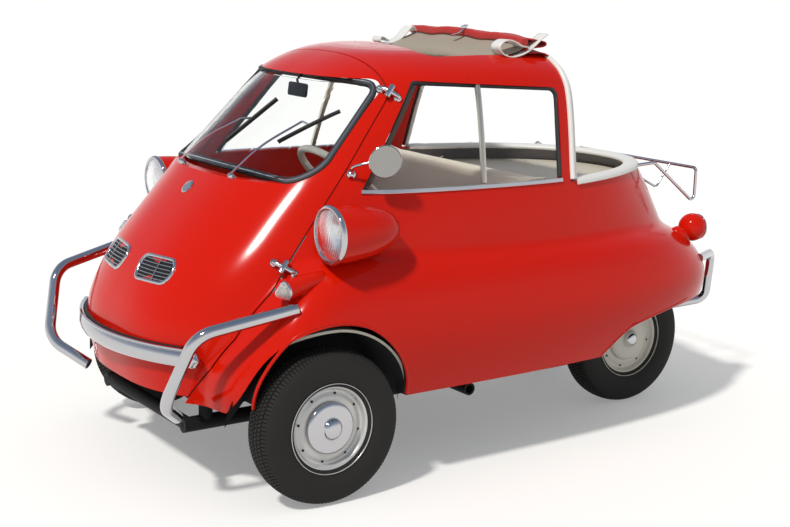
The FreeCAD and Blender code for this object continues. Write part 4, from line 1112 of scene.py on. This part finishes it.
leaves, pins = [], []
hinge_axis = np.array([-0.117475, 0.641807, 0.757815])
for centre in ((427.79, 344, 1230), (505.76, -82, 727)):
    centre = np.array(centre)
    _, (normal,) = to_surface([centre], 0.0, 6)
    aside = np.cross(hinge_axis, normal)
    aside /= np.linalg.norm(aside)
    if aside @ np.array([0, -1, 0]) < 0:
        aside = -aside
    (foot,), (outward,) = to_surface([centre + aside * 34], -1.0, 6)
    leaves.append(swept(smooth_path([foot, foot + outward * 9, centre], 6), round_section(8, 14)))
    leaves.append(revolved([(-3, 15), (4, 14), (9, 9), (11, TIP)], foot, outward, 24))
    (foot,), (outward,) = to_surface([centre - aside * 32], -1.0, 6)
    pins.append(revolved([(-24, TIP), (-23, 6), (-20, 9.5), (-12, 10), (20, 10), (23, 7), (24, TIP)],
                         centre, hinge_axis, 24))
    pins.append(swept(smooth_path([centre, foot + outward * 10, foot], 6), round_section(7.5, 14)))
    pins.append(revolved([(-3, 14), (4, 13), (8, 8), (9, TIP)], foot, outward, 24))
piece("hinge_arms", *joined(leaves), CHROME, "front_door", "chrome", 45, ("hinge_leaves",))
piece("hinge_barrels", *joined(pins), CHROME, "body", "chrome", 45, ("hinge_pins",))

# Wheels: tyre with a block tread, disc, black dimples as painted shade in the disc's holes, cap and, at the
# rear, a bright boss


def crown(along):
    """Tread radius across the tyre."""
    return 243.7 - 12.0 * (abs(along) / 52) ** 2.6


def tyre(centre):
    """Moulded tyre, its tread cut into staggered blocks."""
    blocks, per_block = ((118, 6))
    steps = blocks * per_block
    ribs = [(39, 50), (22, 35), (7, 18), (-3, 3), (-18, -7), (-35, -22), (-50, -39)]
    shoulder = [(42.5, 128.5), (47, 131), (51, 138), (53, 147), (56.5, 155), (60.5, 167), (62, 182),
                (61.5, 198), (59.5, 212), (56.5, 222), (53.5, 229)]
    smooth, groove = -1, -2
    outline = [(a, r, smooth) for a, r in shoulder]
    for number, (low, high) in enumerate(ribs):
        for a in (high, low):
            outline.append((a, crown(a), number))
        if number < len(ribs) - 1:
            for a in (low - 0.3, ribs[number + 1][1] + 0.3):
                outline.append((a, crown(a) - 6.5, groove))
    outline += [(-a, r, smooth) for a, r in reversed(shoulder)]
    count = len(outline)
    angles = 2 * np.pi * np.arange(steps) / steps
    along, radius, kinds = np.array(outline).T
    turned = np.tile(radius[:, None], (1, steps))
    phase = np.arange(steps) % per_block
    zig = np.zeros((count, steps))
    for i, kind in enumerate(kinds.astype(int)):
        if kind >= 0:
            shift = (kind % 2) * per_block // 2
            turned[i, (phase + shift) % per_block == 0] -= 5.0
        if kind != smooth and abs(along[i]) < 40:
            zig[i] = 1.6 * np.sin(angles * blocks)
    x = centre[0] + along[:, None] + zig
    y = centre[1] + turned * np.sin(angles)
    z = centre[2] + turned * np.cos(angles)
    points = np.stack([x, y, z], axis=2).reshape(-1, 3)
    return points, grid_faces(count, steps)


RIM_OUTLINE = [(-50, 142), (-44, 126), (-30, 121), (22, 119), (22, 60), (31, 60), (34, 92), (33.5, 97),
               (31, 103), (27.5, 109), (26, 114), (27.5, 118.5), (33, 121.5), (40, 123), (44, 126.5),
               (46.5, 133), (49.5, 139), (53, 142.2), (55, 142.8), (56, 141), (54, 140.5), (50, 143)]
CAP_OUTLINE = [(34, 80), (38, 82.3), (42, 82), (46, 79.5), (49.5, 74), (51, 68), (51.5, 60), (52, 46),
               (53, 36), (55, 32.5), (60, 30.5), (65, 27), (69, 20), (71, 11), (72, TIP)]
BOSS_OUTLINE = [(53, 33), (58, 31), (62, 26), (64, 24), (70, 22), (74, 14), (75, TIP)]
FRONT_HALF_TRACK, REAR_HALF_TRACK, WHEELBASE = 600, 260, 1500
for name, body, x, station in (("front_left", "wheel_front_left", FRONT_HALF_TRACK, 0),
                               ("front_right", "wheel_front_right", -FRONT_HALF_TRACK, 0),
                               ("rear_left", "rear_wheels", REAR_HALF_TRACK, WHEELBASE),
                               ("rear_right", "rear_wheels", -REAR_HALF_TRACK, WHEELBASE)):
    centre, axis = (x, station, WHEEL_Z), (math.copysign(1, x), 0, 0)
    points, faces = tyre(centre)
    faces = [face[::-1] for face in faces]
    piece("tread_" + name, points, faces, TYRE, body, "tyre_rubber", 30, ("tyre_" + name,))
    # The disc's holes are not cut: black dimples paint the shade seen through them
    hole_shades = []
    for turn in range(8):
        angle = math.radians(45 * turn + 12)
        way = Vector((0, math.sin(angle), math.cos(angle)))
        spot_at = Vector(centre) + Vector(axis) * 28.6 + way * 107
        hole_shades.append(revolved([(0, 4.2), (2.2, 4.2), (2.4, TIP)], spot_at, axis, 10))
    rim, cap = revolved(RIM_OUTLINE, centre, axis, 96), revolved(CAP_OUTLINE, centre, axis, 96)
    rear = station > 0
    disc_paint = RIM_REAR if rear else RIM_FRONT
    cap_paint, cap_slot = (RIM_REAR, "rim_paint") if rear else (CHROME, "chrome")
    piece("wheel_disc_" + name, *rim, disc_paint, body, "rim_paint", 45, ("rim_" + name,))
    piece("wheel_hole_shades_" + name, *joined(hole_shades), BLACK, body, "rim_paint", 45)
    piece("wheel_cap_" + name, *cap, cap_paint, body, cap_slot, 45, ("hub_cap_" + name,))
    if rear:
        piece("wheel_boss_" + name, *revolved(BOSS_OUTLINE, centre, axis, 48), CHROME, body, "chrome", 45)

# Floor, light and camera

AZIMUTH, DIP, ROLL = math.radians(-56.63), math.radians(11.9), math.radians(0.5)
FOCAL_PIXELS, IMAGE_WIDTH, SENSOR_WIDTH = 1504.1, 790, 36
CAMERA_AT = (4.382, -2.9325, 1.673)
forward = Vector((math.sin(AZIMUTH) * math.cos(DIP), math.cos(AZIMUTH) * math.cos(DIP), -math.sin(DIP)))
right = forward.cross(Vector((0, 0, 1))).normalized()
up = right.cross(forward)
right_rolled = right * math.cos(ROLL) + up * math.sin(ROLL)
up_rolled = up * math.cos(ROLL) - right * math.sin(ROLL)
camera_data = bpy.data.cameras.new("camera")
camera_data.sensor_width = SENSOR_WIDTH
camera_data.lens = FOCAL_PIXELS * SENSOR_WIDTH / IMAGE_WIDTH
camera_data.clip_end = 200
camera = placed("camera", camera_data)
turn = Matrix((right_rolled, up_rolled, -forward)).transposed()
camera.matrix_world = Matrix.Translation(Vector(CAMERA_AT)) @ turn.to_4x4()
bpy.context.scene.camera = camera


def seen_directly(tree):
    """1 for rays that show the surroundings: camera, mirror and glass rays."""
    path, first, second = (node_in(tree, kind) for kind in ("LightPath", "Math", "Math"))
    first.operation = second.operation = "MAXIMUM"
    tree.links.new(path.outputs["Is Camera Ray"], first.inputs[0])
    tree.links.new(path.outputs["Is Glossy Ray"], first.inputs[1])
    tree.links.new(first.outputs[0], second.inputs[0])
    tree.links.new(path.outputs["Is Transmission Ray"], second.inputs[1])
    return second.outputs[0]


world = bpy.data.worlds.new("studio")
bpy.context.scene.world = world
world.use_nodes = True
tree = world.node_tree
tree.nodes.clear()
output, mix = node_in(tree, "OutputWorld"), node_in(tree, "MixShader")
light = node_in(tree, "Background", Color=(0.94, 0.97, 1.0, 1), Strength=0.42)
seen = node_in(tree, "Background", Strength=1.0)
sky, height, fade = (node_in(tree, kind) for kind in ("TexCoord", "SeparateXYZ", "ValToRGB"))
fade.color_ramp.elements[0].position = 0.0
fade.color_ramp.elements[0].color = (1, 1, 1, 1)
fade.color_ramp.elements[1].position = 1.0
fade.color_ramp.elements[1].color = (0.20, 0.26, 0.36, 1)
for position, colour in ((0.12, (1, 1, 1, 1)), (0.30, (0.55, 0.60, 0.68, 1)),
                         (0.55, (0.30, 0.36, 0.46, 1))):
    fade.color_ramp.elements.new(position).color = colour
tree.links.new(sky.outputs["Generated"], height.inputs[0])
tree.links.new(height.outputs["Z"], fade.inputs[0])
tree.links.new(fade.outputs["Color"], seen.inputs["Color"])
tree.links.new(seen_directly(tree), mix.inputs[0])
tree.links.new(light.outputs[0], mix.inputs[1])
tree.links.new(seen.outputs[0], mix.inputs[2])
tree.links.new(mix.outputs[0], output.inputs["Surface"])

key = bpy.data.lights.new("key", "SUN")
key.energy = 2.5
key.angle = math.radians(5)
key.color = (1.0, 0.965, 0.91)
key_at = placed("key", key)
key_at.rotation_euler = Vector((-0.25, 0.57, -0.78)).to_track_quat("-Z", "Y").to_euler()

floor_mesh = bpy.data.meshes.new("floor")
FLOOR = 60
floor_mesh.from_pydata([(-FLOOR, -FLOOR, 0), (FLOOR, -FLOOR, 0), (FLOOR, FLOOR, 0), (-FLOOR, FLOOR, 0)],
                       [], [(0, 1, 2, 3)])
floor = placed("floor", floor_mesh)
paper = shader("floor_paper", (0.78, 0.78, 0.77), 0.9, 0.0, Specular_IOR_Level=0.0)
tree = paper.node_tree
dark, glow = (node_in(tree, "Emission", Strength=strength) for strength in (0.0, 0.26))
lift, both = node_in(tree, "MixShader"), node_in(tree, "AddShader")
tree.links.new(seen_directly(tree), lift.inputs[0])
tree.links.new(dark.outputs[0], lift.inputs[1])
tree.links.new(glow.outputs[0], lift.inputs[2])
tree.links.new(tree.nodes["Principled BSDF"].outputs[0], both.inputs[0])
tree.links.new(lift.outputs[0], both.inputs[1])
tree.links.new(both.outputs[0], tree.nodes["Material Output"].inputs["Surface"])
floor_mesh.materials.append(paper)

bpy.context.scene.view_settings.view_transform = "Standard"
